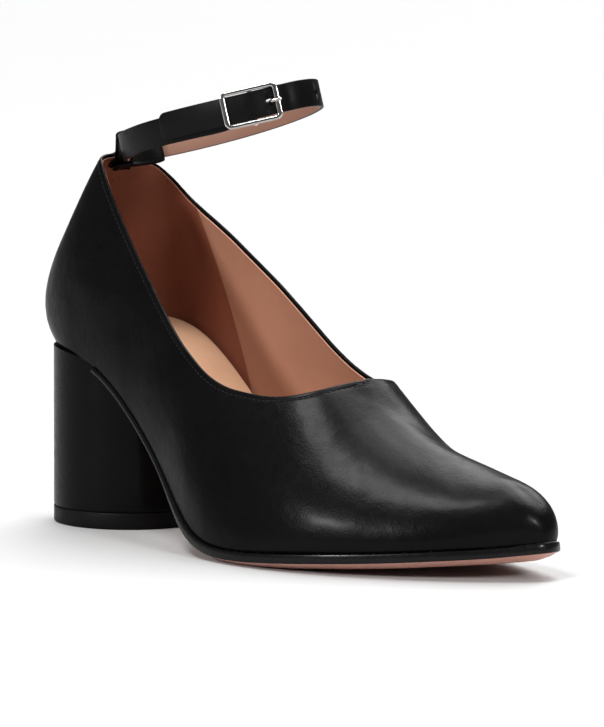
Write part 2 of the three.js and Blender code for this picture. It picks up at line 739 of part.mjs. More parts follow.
// Prong: a ring round the bar and a needle up through the strap's hole, resting over the frame's front
function prongGeometry() {
  const half = prongThickness / 2;
  const frontInside = buckleLength / 2 - buckleRail;
  const frontTop = frameOut + buckleThickness + frontInside * frameTilt + clearance + half;
  const line = new THREE.CatmullRomCurve3([
    new THREE.Vector3(barRadius + clearance + half, barOut, 0),
    new THREE.Vector3(3.4, barOut - 0.1, 0),
    new THREE.Vector3(prongHole - 0.9, 0.3, 0),
    new THREE.Vector3(prongHole + 0.2, 1.9, 0),
    new THREE.Vector3(prongHole + 1.3, frontTop, 0),
    new THREE.Vector3(buckleLength / 2 + 0.7, frontTop, 0),
  ]);
  const section = new THREE.Shape();
  section.absarc(0, 0, half, 0, 2 * Math.PI);
  const needle = new THREE.ExtrudeGeometry(section, {
    extrudePath: line,
    steps: 18,
    bevelEnabled: false,
    curveSegments: 8,
  });
  const ringProfile = new THREE.Shape();
  ringProfile.absarc(0, 0, prongBore + prongThickness * 0.6, 0, 2 * Math.PI);
  const bore = new THREE.Path();
  bore.absarc(0, 0, prongBore, 0, 2 * Math.PI);
  ringProfile.holes.push(bore);
  const ring = new THREE.ExtrudeGeometry(ringProfile, {
    depth: prongThickness,
    bevelEnabled: false,
    curveSegments: 20,
  });
  ring.translate(0, barOut, -half);
  return setAtBuckle(joined([bare(ring), bare(needle)]));
}

// Back tab: a strip of leather with both ends inside the collar and the strap through its fold
function tabGeometry() {
  const inverse = strapGroup.matrixWorld.clone().invert();
  const half = tabThickness / 2;
  const reach = clearance + half;
  const top = strapWidth / 2;
  const across = 14;
  const rings = [];
  for (let i = 0; i <= across; i++) {
    const share = (2 * i) / across - 1;
    const inner = collarAt((share * tabWidth * tabTaper) / 2 - tabFootAside);
    const turn = 180 + tabTurn + THREE.MathUtils.radToDeg((share * tabWidth) / 2 / strapHalfWidth);
    const onStrap = (off, height) => {
      const flat = loopPoint(turn, off);
      return new THREE.Vector3(flat.x, flat.y, height);
    };
    const inCollar = (forward, height) => inner(forward, height).applyMatrix4(inverse);
    const second = reach + tabThickness + clearance;
    const middle = strapThickness / 2;
    const corner = 0.75 * reach;
    const path = new THREE.CatmullRomCurve3(
      [
        inCollar(reach, -tabFoot),
        inCollar(reach + 0.2, 0),
        onStrap(strapThickness + reach + 0.3, top - 1),
        onStrap(strapThickness + corner, top + corner),
        onStrap(middle, top + reach + 0.1),
        onStrap(-corner, top + corner),
        onStrap(-reach, top - 1),
        onStrap(-reach, 1 - top),
        onStrap(-corner, -top - corner),
        onStrap(middle, -top - reach - 0.1),
        inCollar(second + 0.6, -1.2),
        inCollar(second, -tabFoot),
      ],
      false,
      "centripetal",
    );
    rings.push(ribbonRing(path, 36, half));
  }
  return loft(rings);
}

// The collar's back at a distance from the middle: a point this far off the lining, at a height over the edge
function collarAt(aside) {
  const placeOf = (at) => (aside > 0 ? (2 * toePlace - at) % (2 * toePlace) : at);
  const found = solve((at) => Math.abs(lastPoint(placeOf(at), topOf(placeOf(at))).y) - Math.abs(aside), 0, 4);
  const place = placeOf(found);
  const edge = topOf(place);
  const edgeHeight = lastPoint(place, edge).z;
  return (forward, height) => {
    const up = solve((share) => lastPoint(place, share).z - edgeHeight - Math.min(height, 0), edge / 2, edge);
    return lastPoint(place, up).addScaledVector(lastNormal(place, up), -wall - forward);
  };
}

// Both faces of a thin strip along a curve that lies in a plane of its own
function ribbonRing(path, steps, half) {
  const one = [];
  const other = [];
  const points = path.getSpacedPoints(steps);
  const plane = new THREE.Vector3()
    .crossVectors(points[steps / 2].clone().sub(points[0]), points[steps].clone().sub(points[0]))
    .normalize();
  for (let i = 0; i <= steps; i++) {
    const tangent = path.getTangentAt(i / steps);
    const across = new THREE.Vector3().crossVectors(plane, tangent).normalize().multiplyScalar(half);
    one.push(points[i].clone().add(across));
    other.push(points[i].clone().sub(across));
  }
  return [...one, ...other.reverse()];
}

// Assembly
const shoe = new THREE.Group();
function addMesh(parent, name, geometry, material) {
  const mesh = new THREE.Mesh(geometry, material);
  mesh.name = name;
  parent.add(mesh);
}

addMesh(shoe, "upper", upperGeometry(), blackLeather());
addMesh(shoe, "insole", insoleGeometry(), tanLeather());
addMesh(shoe, "outsole", outsoleGeometry(), soleLeather());
addMesh(shoe, "heel_block", heelGeometry(), blackLeather());
addMesh(shoe, "top_lift", topLiftGeometry(), blackRubber());
addMesh(strapGroup, "ankle_strap", strapGeometry(), blackLeather());
addMesh(strapGroup, "buckle_frame", buckleFrameGeometry(), silver());
addMesh(strapGroup, "buckle_prong", prongGeometry(), silver());
addMesh(strapGroup, "back_tab", tabGeometry(), blackLeather());
shoe.add(strapGroup);

export default shoe;
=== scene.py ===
# The looks of a block heel pump with an ankle strap, the right shoe of a pair
import math

import bmesh
import bpy
import numpy as np
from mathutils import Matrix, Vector


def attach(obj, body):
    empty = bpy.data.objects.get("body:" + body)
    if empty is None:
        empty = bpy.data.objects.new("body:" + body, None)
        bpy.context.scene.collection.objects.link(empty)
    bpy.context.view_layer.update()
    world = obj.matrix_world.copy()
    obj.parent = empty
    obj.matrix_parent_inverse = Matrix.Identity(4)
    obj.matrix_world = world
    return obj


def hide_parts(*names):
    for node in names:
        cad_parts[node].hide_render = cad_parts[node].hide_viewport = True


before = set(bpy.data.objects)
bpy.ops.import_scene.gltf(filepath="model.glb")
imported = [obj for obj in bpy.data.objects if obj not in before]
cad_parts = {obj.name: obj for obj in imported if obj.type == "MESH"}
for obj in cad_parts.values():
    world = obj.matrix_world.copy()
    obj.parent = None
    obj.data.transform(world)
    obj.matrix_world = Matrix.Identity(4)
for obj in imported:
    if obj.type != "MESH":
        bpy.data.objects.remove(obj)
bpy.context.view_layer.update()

# Shapes are worked out in millimetres and made in metres
MM = 0.001

# Sizes of the last and the leather
LAST_LENGTH = 233.2
BALL_WIDTH = 78
HEEL_HEIGHT = 64
TOE_SPRING = 7.6
INSTEP_HEIGHT = 58
THROAT_REACH = 152.5
COLLAR_HEIGHT = 134
COLLAR_LEAN = 22.6
CLEARANCE = 0.3
WALL = 1.8
INSOLE_THICKNESS = 8.5
SOLE_THICKNESS = 5.6
WAIST_SHARE = 0.6
SOLE_EDGE = 3.3
SOLE_PROUD = 0.9
SOLE_BEVEL = 6.5
GROUND_TRIM = 0.3
HEEL_RADIUS = 28
HEEL_TAPER = 0.2
TOP_LIFT = 6
BREAST_REACH = 12

# Sizes of the strap, the buckle and the back tab
STRAP_WIDTH = 9.8
STRAP_THICKNESS = 1.8
STRAP_HALF_LENGTH = 40
STRAP_HALF_WIDTH = 24
STRAP_HEIGHT = 146
STRAP_FORWARD = 43.5
STRAP_ASIDE = 5
STRAP_PITCH = 15.8
STRAP_TURN = 11
STRAP_TIP = 30
HOLE_SIZE = 1.8
HOLE_PITCH = 20
HOLE_COUNT = 3
BUCKLE_AT = 45
BUCKLE_LENGTH = 20.8
BUCKLE_RAIL = 1.9
BUCKLE_SIDE_RAIL = 1.4
BUCKLE_THICKNESS = 1.5
BAR_RADIUS = 0.9
PRONG_THICKNESS = 1.2
TAB_WIDTH = 17.5
TAB_TURN = 4
TAB_THICKNESS = 1.3
TAB_FOOT = 2.5
TAB_FOOT_ASIDE = 2.5
TAB_TAPER = 1

# Where the heel's lining ends at the collar, and how far its edge slants for each step down
HEEL_LINING_TOP = 2.9
HEEL_LINING_SLANT = 0.42

SEAT_BACK = -(HEEL_RADIUS - HEEL_TAPER)
BALL_HEIGHT = SOLE_THICKNESS + CLEARANCE - GROUND_TRIM
THROAT_X = SEAT_BACK + THROAT_REACH
COLLAR_X = SEAT_BACK + COLLAR_LEAN

# The last's bottom edge: along, outer, inner, rise, spring
BOTTOM_ROWS = [
    (0.0, 0.0, 0.0, 1.0, 0),
    (0.025, 0.199, 0.199, 1.0, 0),
    (0.094, 0.333, 0.333, 0.985, 0),
    (0.179, 0.359, 0.333, 0.897, 0),
    (0.27, 0.378, 0.324, 0.658, 0),
    (0.355, 0.423, 0.315, 0.366, 0),
    (0.441, 0.513, 0.335, 0.11, 0),
    (0.527, 0.583, 0.385, 0.0, 0),
    (0.626, 0.583, 0.43, 0.0, 0),
    (0.72, 0.519, 0.432, 0.0, 0.2),
    (0.806, 0.404, 0.391, 0.0, 0.39),
    (0.883, 0.263, 0.335, 0.0, 0.6),
    (0.948, 0.1, 0.265, 0.0, 0.79),
    (0.986, -0.036, 0.215, 0.0, 0.94),
    (1.0, -0.118, 0.118, 0.0, 1.0),
]

# The last's wall: flare, lift, along on top, aside on top, top, crown, drop
WALL_ROWS = [
    (0.293, 0.356, 0.145, 0, 1.477, 0.284, 0.47),
    (0.219, 0.309, 0.155, 0, 1.483, 0.219, 0.376),
    (0.058, 0.34, 0.175, 0, 1.476, 0.294, 0.039),
    (0.063, 0.42, 0.229, 0, 1.466, 0.265, 0.002),
    (0.046, 0.472, 0.295, 0, 1.483, 0.284, -0.036),
    (0.045, 0.483, 0.364, 0, 1.517, 0.3, 0),
    (0.032, 0.448, 0.437, 0.01, 1.483, 0.32, 0),
    (0.025, 0.372, 0.518, 0.018, 1.335, 0.327, 0),
    (0.025, 0.321, 0.609, 0.027, 1.119, 0.326, 0),
    (0.031, 0.28, 0.694, 0.007, 0.812, 0.299, 0),
    (0.033, 0.23, 0.772, 0.021, 0.6, 0.229, 0),
    (0.043, 0.223, 0.836, 0.075, 0.477, 0.215, 0),
    (0.049, 0.208, 0.888, 0.101, 0.392, 0.176, 0),
    (0.046, 0.184, 0.922, 0.1, 0.348, 0.136, 0),
    (0.047, 0.17, 0.935, 0.105, 0.32, 0.113, 0),
]

# The top edge seen from the side: along, outer, inner
TOPLINE = [
    (-0.2, 1.01, 1.01),
    (-0.015, 0.995, 0.995),
    (0.01, 0.992, 0.945),
    (0.035, 0.985, 0.87),
    (0.086, 0.938, 0.767),
    (0.147, 0.816, 0.701),
    (0.208, 0.688, 0.649),
    (0.279, 0.546, 0.583),
    (0.35, 0.408, 0.511),
    (0.421, 0.275, 0.444),
    (0.492, 0.161, 0.375),
    (0.563, 0.072, 0.288),
    (0.634, 0, 0.192),
    (0.706, -0.045, 0.09),
    (0.777, -0.064, 0.003),
    (0.848, -0.073, -0.052),
    (0.909, -0.063, -0.062),
    (0.959, -0.036, -0.036),
    (1, 0, 0),
]

# How high the strap's middle lies along its length from the bar to the tip
STRAP_RISES = [
    (0, 0),
    (0.012, 0),
    (0.03, -0.9),
    (0.05, -1.4),
    (0.1, -0.9),
    (0.15, -0.3),
    (0.2, 0),
    (0.5, 0),
    (0.6, 0.3),
    (0.7, 0.8),
    (0.77, 0.9),
    (0.82, 0.35),
    (0.84, 0.12),
    (0.87, 0),
    (1, 0.9),
]



# Splines through the tables

def column(rows, index):
    return np.array([row[index] for row in rows], float)


# A smooth closed curve through values at whole numbers
def closed_spline(values):
    count = len(values)
    one = np.eye(count)
    system = 4 * one + np.roll(one, 1, axis=0) + np.roll(one, -1, axis=0)
    second = 6 * (np.roll(values, 1) - 2 * values + np.roll(values, -1))
    bends = np.linalg.solve(system, second)

    def at(place):
        wrapped = np.mod(place, count)
        low = np.floor(wrapped).astype(int) % count
        high = (low + 1) % count
        b = wrapped - np.floor(wrapped)
        a = 1 - b
        return a * values[low] + b * values[high] + ((a**3 - a) * bends[low] + (b**3 - b) * bends[high]) / 6

    return at


# A smooth open curve through points with rising x
def open_spline(x, y):
    last = len(x) - 1
    before = np.maximum(np.arange(last + 1) - 1, 0)
    after = np.minimum(np.arange(last + 1) + 1, last)
    tangents = (y[after] - y[before]) / (x[after] - x[before])

    def at(value):
        i = np.clip(np.searchsorted(x, value) - 1, 0, last - 1)
        width = x[i + 1] - x[i]
        t = np.clip((value - x[i]) / width, 0, 1)
        rest = 1 - t
        bend = width * t * rest * (tangents[i] * rest - tangents[i + 1] * t)
        return y[i] * rest**2 * (1 + 2 * t) + y[i + 1] * t**2 * (1 + 2 * rest) + bend

    return at


# Where a rising function passes zero, for many places at once
def solve(rising, low, high, steps=40):
    low, high = np.broadcast_arrays(np.asarray(low, float), np.asarray(high, float))
    low, high = low.copy(), high.copy()
    for _ in range(steps):
        middle = (low + high) / 2
        over = rising(middle) > 0
        high = np.where(over, middle, high)
        low = np.where(over, low, middle)
    return (low + high) / 2


# The last's surface: place runs round the bottom edge, up runs from it to the centre line on top
TOE = len(BOTTOM_ROWS) - 1
TINY = 1e-3


def around_last(outer, inner=None):
    inner = outer if inner is None else inner
    return closed_spline(np.concatenate([outer, inner[1:TOE][::-1]]))


outer_half = -column(BOTTOM_ROWS, 1)
inner_half = column(BOTTOM_ROWS, 2)
outer_half[TOE] = (inner_half[TOE] + outer_half[TOE]) / 2
row_height = (
    BALL_HEIGHT + column(BOTTOM_ROWS, 3) * (HEEL_HEIGHT - BALL_HEIGHT) + column(BOTTOM_ROWS, 4) * TOE_SPRING
)
edge_x = around_last(SEAT_BACK + column(BOTTOM_ROWS, 0) * LAST_LENGTH)
edge_y = around_last(outer_half * BALL_WIDTH, inner_half * BALL_WIDTH)
edge_z = around_last(row_height)
flare_at = around_last(column(WALL_ROWS, 0) * BALL_WIDTH)
lift_at = around_last(column(WALL_ROWS, 1) * INSTEP_HEIGHT)
crest_x = around_last(SEAT_BACK + column(WALL_ROWS, 2) * LAST_LENGTH)
crest_y = around_last(column(WALL_ROWS, 3) * BALL_WIDTH)
crest_z = around_last(row_height + column(WALL_ROWS, 4) * INSTEP_HEIGHT)
crown_at = around_last(column(WALL_ROWS, 5) * BALL_WIDTH)
drop_at = around_last(column(WALL_ROWS, 6) * INSTEP_HEIGHT)


def stacked(x, y, z):
    return np.stack(np.broadcast_arrays(x, y, z), axis=-1).astype(float)


def unit(vectors):
    return vectors / np.linalg.norm(vectors, axis=-1, keepdims=True)


def bottom_edge(place):
    return stacked(edge_x(place), edge_y(place), edge_z(place))


def crest(place):
    return stacked(crest_x(place), crest_y(place), crest_z(place))


def outward(place):
    step = bottom_edge(place + TINY) - bottom_edge(place - TINY)
    return unit(stacked(step[..., 1], -step[..., 0], 0))


def slope_of(curve, place):
    folded = np.where(place > TOE, 2 * TOE - place, place)
    at = np.clip(folded, 0.05, TOE - 0.05)
    step = curve(at + TINY) - curve(at - TINY)
    return step[..., 2] / step[..., 0]


def last_point(place, up):
    place, up = np.broadcast_arrays(np.asarray(place, float), np.asarray(up, float))
    foot = bottom_edge(place)
    top = crest(place)
    out = outward(place)
    crown = crown_at(place)
    low = foot + out * flare_at(place)[..., None]
    low[..., 2] += lift_at(place)
    high = top + out * crown[..., None]
    high[..., 2] += slope_of(crest, place) * out[..., 0] * crown - drop_at(place)
    t = up[..., None]
    rest = 1 - t
    return foot * rest**3 + low * 3 * rest**2 * t + high * 3 * rest * t**2 + top * t**3


def last_normal(place, up):
    place, up = np.broadcast_arrays(np.asarray(place, float), np.asarray(up, float))
    low = np.maximum(up - TINY, 0)
    along = last_point(place + TINY, up) - last_point(place - TINY, up)
    rising = last_point(place, up + TINY) - last_point(place, low)
    crossed = np.cross(along, rising)
    ridge = stacked(-slope_of(crest, place), 0, 1)
    return unit(np.where((up > 1 - TINY)[..., None], ridge, crossed))


THROAT = float(solve(lambda place: crest_x(place) - THROAT_X, TOE * 0.4, TOE * 0.9))
throat_z = float(crest_z(THROAT))
line_x = COLLAR_X + column(TOPLINE, 0) * (THROAT_X - COLLAR_X)
outer_line = open_spline(line_x, throat_z + column(TOPLINE, 1) * (COLLAR_HEIGHT - throat_z))
inner_line = open_spline(line_x, throat_z + column(TOPLINE, 2) * (COLLAR_HEIGHT - throat_z))


# How far up the wall the top edge lies, a drop below the side view's line
def top_of(place, drop=0.0):
    place = np.asarray(place, float)
    folded = np.where(place > TOE, 2 * TOE - place, place)

    def over(up):
        point = last_point(place, up)
        line = np.where(place > TOE, inner_line(point[..., 0]), outer_line(point[..., 0]))
        return point[..., 2] - line + drop

    found = solve(over, np.full(place.shape, 0.1), np.full(place.shape, 1.0))
    return np.where(folded >= THROAT - TINY**2, 1.0, found)


# Making meshes

def add_mesh(name, points, faces, materials, sharp=None, weld=0.002):
    mesh = bpy.data.meshes.new(name)
    mesh.from_pydata((np.asarray(points, float) * MM).tolist(), [], faces)
    grown = bmesh.new()
    grown.from_mesh(mesh)
    bmesh.ops.remove_doubles(grown, verts=grown.verts, dist=weld * MM)
    bmesh.ops.dissolve_degenerate(grown, edges=grown.edges, dist=weld * MM * 0.2)
    bmesh.ops.recalc_face_normals(grown, faces=grown.faces)
    grown.to_mesh(mesh)
    grown.free()
    mesh.polygons.foreach_set("use_smooth", [True] * len(mesh.polygons))
    if sharp is not None:
        mesh.set_sharp_from_angle(angle=math.radians(sharp))
    for material in materials:
        mesh.materials.append(material)
    piece = bpy.data.objects.new(name, mesh)
    bpy.context.scene.collection.objects.link(piece)
    return piece


def settle(piece, slot, *nodes):
    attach(piece, "root")
    if nodes:
        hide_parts(*nodes)
    return piece


# Faces between neighbouring rings of points; each ring is closed
def ring_faces(rings, size, closed=False, first=0):
    faces = []
    last = rings if closed else rings - 1
    for i in range(last):
        a = first + i * size
        b = first + ((i + 1) % rings) * size
        for k in range(size):
            n = (k + 1) % size
            faces.append((a + k, a + n, b + n, b + k))
    return faces


# A solid through rings that run down one side and up the other, closed by strips at its ends
def loft(name, rings, materials, sharp=None, weld=0.002):
    rings = np.asarray(rings, float)
    count, size = rings.shape[:2]
    faces = ring_faces(count, size)
    for start in (0, (count - 1) * size):
        for k in range(size // 2 - 1):
            faces.append((start + k, start + size - 1 - k, start + size - 2 - k, start + k + 1))
    return add_mesh(name, rings.reshape(-1, 3), faces, materials, sharp, weld)


# A tube of rings with its ends closed by one face each
def tube(name, rings, materials, closed=False, sharp=None):
    rings = np.asarray(rings, float)
    count, size = rings.shape[:2]
    faces = ring_faces(count, size, closed)
    if not closed:
        faces.append(tuple(range(size)))
        faces.append(tuple((count - 1) * size + k for k in range(size)))
    return add_mesh(name, rings.reshape(-1, 3), faces, materials, sharp)


# Upper and lining: two skins of the last joined by a rounded rim along the top edge

def side_places(rear, front):
    back = THROAT * (1 - (1 - np.arange(rear) / rear) ** 1.4)
    ahead = THROAT + (TOE - THROAT) * (np.arange(front + 1) / front) ** 1.25
    return np.concatenate([back, ahead])


REAR = 100
FRONT = 84
one_side = side_places(REAR, FRONT)
all_places = np.concatenate([one_side, (2 * TOE - one_side[1:-1])[::-1]])


# Shares of the way up each wall, close together near the top edge
def rising_rows(places, top, start, fine, coarse):
    samples = np.linspace(0, 1, 60)
    ups = start[:, None] + (top - start)[:, None] * samples
    points = last_point(places[:, None], ups)
    steps = np.linalg.norm(np.diff(points, axis=1), axis=-1)
    run = np.concatenate([np.zeros((len(places), 1)), np.cumsum(steps, axis=1)], axis=1)
    rows = []
    for i in range(len(places)):
        length = run[i, -1]
        near = length - np.minimum(np.array(fine), length * 0.9)[::-1]
        far = np.linspace(0, near[0], coarse, endpoint=False)
        rows.append(np.interp(np.concatenate([far, near]), run[i], ups[i]))
    return np.array(rows)


def top_edge_curve(drop):
    places = np.concatenate([one_side[: REAR + 1], (2 * TOE - one_side[1:REAR])[::-1]])
    return last_point(places, top_of(places, drop))


def nearest(points, curve):
    flat = points.reshape(-1, 3)
    found = np.empty(len(flat))
    for start in range(0, len(flat), 4000):
        part = flat[start : start + 4000, None, :] - curve[None, :, :]
        found[start : start + 4000] = np.sqrt((part**2).sum(-1).min(1))
    return found.reshape(points.shape[:-1])


FINE = (0.0, 0.3, 0.6, 0.9, 1.15, 1.35, 1.5, 1.65, 1.85, 2.1, 2.5, 3.0, 3.7, 4.6)
RIM_STEPS = 5


def skin(name, depths, drop, start_height, coarse, shaped, materials):
    outer_depth, inner_depth = depths
    count = len(all_places)
    top = top_of(all_places, drop)
    foot = np.zeros(count)
    if start_height > 0:
        height = edge_z(all_places) + start_height
        foot = solve(lambda up: last_point(all_places, up)[..., 2] - height, np.zeros(count), np.full(count, 0.6))
    ups = rising_rows(all_places, top, foot, FINE, coarse)
    surface = last_point(all_places[:, None], ups)
    normals = last_normal(all_places[:, None], ups)
    shape = shaped(surface, ups)
    outside = surface - normals * (outer_depth - shape)[..., None]
    inside = surface - normals * (inner_depth - shape * 0.6)[..., None]

    # The rim follows the top edge as one closed loop
    loop = list(range(REAR + 1)) + list(range(count - REAR + 1, count))
    ends = surface[loop, -1]
    along = np.roll(ends, -1, axis=0) - np.roll(ends, 1, axis=0)
    up_edge = unit(-np.cross(along, normals[loop, -1]))
    half = (inner_depth - outer_depth) / 2
    middle = (outside[loop, -1] + inside[loop, -1]) / 2
    rim = {}
    for k, i in enumerate(loop):
        turns = np.pi * np.arange(1, RIM_STEPS + 1) / (RIM_STEPS + 1)
        rim[i] = middle[k] + half * (np.cos(turns)[:, None] * normals[i, -1] + np.sin(turns)[:, None] * up_edge[k])
    rim[count - REAR] = rim[REAR]

    rows = ups.shape[1]
    points = np.concatenate([outside.reshape(-1, 3), inside.reshape(-1, 3)])
    rim_start = {}
    extra = []
    for i, ring in rim.items():
        rim_start[i] = len(points) + len(extra) * RIM_STEPS
        extra.append(ring)
    points = np.concatenate([points, np.array(extra).reshape(-1, 3)])
    faces = []
    shift = count * rows
    for i in range(count):
        n = (i + 1) % count
        for j in range(rows - 1):
            faces.append((i * rows + j, n * rows + j, n * rows + j + 1, i * rows + j + 1))
            faces.append((shift + i * rows + j, shift + i * rows + j + 1, shift + n * rows + j + 1, shift + n * rows + j))
        faces.append((i * rows, shift + i * rows, shift + n * rows, n * rows))
        if i in rim_start and n in rim_start:
            one = [i * rows + rows - 1] + [rim_start[i] + k for k in range(RIM_STEPS)] + [shift + i * rows + rows - 1]
            two = [n * rows + rows - 1] + [rim_start[n] + k for k in range(RIM_STEPS)] + [shift + n * rows + rows - 1]
            for k in range(len(one) - 1):
                faces.append((one[k], two[k], two[k + 1], one[k + 1]))
    return add_mesh(name, points, faces, materials)


# Materials

def new_material(name):
    material = bpy.data.materials.new(name)
    material.use_nodes = True
    nodes = material.node_tree.nodes
    shader = nodes["Principled BSDF"]
    return material, nodes, material.node_tree.links, shader


def noise(nodes, links, where, scale, detail, roughness=0.5, stretch=None):
    node = nodes.new("ShaderNodeTexNoise")
    node.inputs["Scale"].default_value = scale
    node.inputs["Detail"].default_value = detail
    node.inputs["Roughness"].default_value = roughness
    if stretch:
        mapping = nodes.new("ShaderNodeMapping")
        mapping.inputs["Scale"].default_value = stretch
        links.new(where, mapping.inputs["Vector"])
        where = mapping.outputs["Vector"]
    links.new(where, node.inputs["Vector"])
    return node.outputs["Fac"]


def spread(nodes, links, value, low, high):
    node = nodes.new("ShaderNodeMapRange")
    node.inputs["From Min"].default_value = 0.3
    node.inputs["From Max"].default_value = 0.7
    node.inputs["To Min"].default_value = low
    node.inputs["To Max"].default_value = high
    links.new(value, node.inputs["Value"])
    return node.outputs["Result"]


def bumps(nodes, links, layers):
    normal = None
    for value, strength, distance in layers:
        node = nodes.new("ShaderNodeBump")
        node.inputs["Strength"].default_value = strength
        node.inputs["Distance"].default_value = distance
        links.new(value, node.inputs["Height"])
        if normal is not None:
            links.new(normal, node.inputs["Normal"])
        normal = node.outputs["Normal"]
    return normal


# A darker tone on the heel's side of a slanting line across the lining: partly the heel lining's own leather, partly
# painted shade at the back inside the shoe
def heel_lining_tone_and_shade(material, colour):
    nodes, links = material.node_tree.nodes, material.node_tree.links
    shader = nodes["Principled BSDF"]
    plain_tone = shader.inputs["Base Color"].links[0].from_socket
    where = nodes.new("ShaderNodeTexCoord").outputs["Object"]
    slant = nodes.new("ShaderNodeVectorMath")
    slant.operation = "DOT_PRODUCT"
    slant.inputs[1].default_value = (1, 0, HEEL_LINING_SLANT)
    links.new(where, slant.inputs[0])
    line = (HEEL_LINING_TOP + HEEL_LINING_SLANT * COLLAR_HEIGHT) * MM
    side = nodes.new("ShaderNodeMapRange")
    side.inputs["From Min"].default_value = line - 0.4 * MM
    side.inputs["From Max"].default_value = line + 0.4 * MM
    links.new(slant.outputs["Value"], side.inputs["Value"])
    mix = nodes.new("ShaderNodeMix")
    mix.data_type = "RGBA"
    mix.inputs["A"].default_value = (*colour, 1)
    links.new(plain_tone, mix.inputs["B"])
    links.new(side.outputs["Result"], mix.inputs["Factor"])
    links.new(mix.outputs["Result"], shader.inputs["Base Color"])


# Smooth or grained leather: pores, fine creases and patches of tone and gloss
def leather(name, colour, second, gloss, coat=0.0, coat_roughness=0.15, specular=0.5, grain=0.2, crease=0.2):
    material, nodes, links, shader = new_material(name)
    where = nodes.new("ShaderNodeTexCoord").outputs["Object"]
    patches = noise(nodes, links, where, 42, 4, 0.55)
    mix = nodes.new("ShaderNodeMix")
    mix.data_type = "RGBA"
    mix.inputs["A"].default_value = (*colour, 1)
    mix.inputs["B"].default_value = (*second, 1)
    links.new(spread(nodes, links, patches, 0, 1), mix.inputs["Factor"])
    links.new(mix.outputs["Result"], shader.inputs["Base Color"])
    links.new(spread(nodes, links, noise(nodes, links, where, 260, 5, 0.6), *gloss), shader.inputs["Roughness"])
    shader.inputs["Specular IOR Level"].default_value = specular
    shader.inputs["Coat Weight"].default_value = coat
    shader.inputs["Coat Roughness"].default_value = coat_roughness
    pores = nodes.new("ShaderNodeTexVoronoi")
    pores.inputs["Scale"].default_value = 1500
    links.new(where, pores.inputs["Vector"])
    creases = noise(nodes, links, where, 230, 6, 0.62)
    waves = noise(nodes, links, where, 38, 2, 0.4)
    normal = bumps(
        nodes,
        links,
        [
            (waves, 0.35 * crease, 0.004),
            (creases, 0.3 * crease, 0.0008),
            (pores.outputs["Distance"], 0.3 * grain, 0.0002),
        ],
    )
    links.new(normal, shader.inputs["Normal"])
    if coat > 0:
        links.new(bumps(nodes, links, [(waves, 0.3 * crease, 0.004)]), shader.inputs["Coat Normal"])
    return material


black_leather = leather(
    "black calf", (0.0022, 0.0021, 0.0022), (0.0032, 0.003, 0.0032), (0.27, 0.37), 0.04, 0.2, 0.036, 0.6, 0.8
)
heel_leather = leather(
    "black heel calf", (0.002, 0.0018, 0.0018), (0.003, 0.0027, 0.0027), (0.24, 0.34), 0.05, 0.1, 0.036, 0.3, 0.25
)
strap_leather = leather(
    "black strap calf", (0.0026, 0.0025, 0.0026), (0.004, 0.0038, 0.004), (0.36, 0.48), 0.04, 0.2, 0.05, 0.35, 0.5
)
tab_leather = leather(
    "black tab calf", (0.0026, 0.0025, 0.0026), (0.004, 0.0038, 0.004), (0.36, 0.48), 0.04, 0.2, 0.05, 0.35, 0.5
)
lining_leather = leather(
    "nude lining", (0.32, 0.15, 0.095), (0.35, 0.17, 0.108), (0.5, 0.62), 0.0, 0.2, 0.3, 0.4, 0.3
)
# The heel lining's colour is its own darker leather plus painted shade at the back inside the shoe
heel_lining_tone_and_shade(lining_leather, (0.2, 0.062, 0.034))
strap_lining_leather = leather(
    "nude strap lining", (0.21, 0.105, 0.072), (0.24, 0.125, 0.086), (0.5, 0.62), 0.0, 0.2, 0.3, 0.5, 0.6
)
sock_leather = leather(
    "nude sock", (0.47, 0.27, 0.165), (0.51, 0.3, 0.185), (0.45, 0.58), 0.03, 0.2, 0.35, 0.4, 0.3
)
sole_leather = leather(
    "sole leather", (0.5, 0.24, 0.19), (0.56, 0.28, 0.22), (0.35, 0.5), 0.05, 0.2, 0.3, 0.5, 0.4
)
# Near-black painted shade for the gap along the insole's edge; the insole gives every face the sock leather, so it is
# never drawn
insole_gap_shade = leather("insole gap shade", (0.02, 0.012, 0.01), (0.03, 0.018, 0.014), (0.6, 0.7), 0, 0.2, 0.1, 0.3)
sole_edge_paint = leather(
    "black edge paint", (0.003, 0.003, 0.0032), (0.0045, 0.0043, 0.0045), (0.22, 0.34), 0.1, 0.12, 0.1, 0.1, 0.4
)
thread = leather("black thread", (0.005, 0.005, 0.005), (0.008, 0.008, 0.008), (0.45, 0.6), 0, 0.2, 0.1, 0.6)


def rubber():
    material, nodes, links, shader = new_material("black heel rubber")
    where = nodes.new("ShaderNodeTexCoord").outputs["Object"]
    mix = nodes.new("ShaderNodeMix")
    mix.data_type = "RGBA"
    mix.inputs["A"].default_value = (0.003, 0.003, 0.003, 1)
    mix.inputs["B"].default_value = (0.0045, 0.0045, 0.0044, 1)
    links.new(spread(nodes, links, noise(nodes, links, where, 120, 4), 0, 1), mix.inputs["Factor"])
    links.new(mix.outputs["Result"], shader.inputs["Base Color"])
    links.new(spread(nodes, links, noise(nodes, links, where, 700, 3), 0.4, 0.56), shader.inputs["Roughness"])
    shader.inputs["Specular IOR Level"].default_value = 0.08
    grit = noise(nodes, links, where, 1800, 2)
    links.new(bumps(nodes, links, [(grit, 0.15, 0.0002)]), shader.inputs["Normal"])
    return material


def metal():
    material, nodes, links, shader = new_material("silver plate")
    where = nodes.new("ShaderNodeTexCoord").outputs["Object"]
    shader.inputs["Base Color"].default_value = (0.5, 0.49, 0.48, 1)
    shader.inputs["Metallic"].default_value = 1
    links.new(spread(nodes, links, noise(nodes, links, where, 900, 3), 0.1, 0.22), shader.inputs["Roughness"])
    fine = noise(nodes, links, where, 600, 4, 0.6, (1, 1, 9))
    links.new(bumps(nodes, links, [(fine, 0.08, 0.0002)]), shader.inputs["Normal"])
    return material


lift_rubber = rubber()
silver = metal()


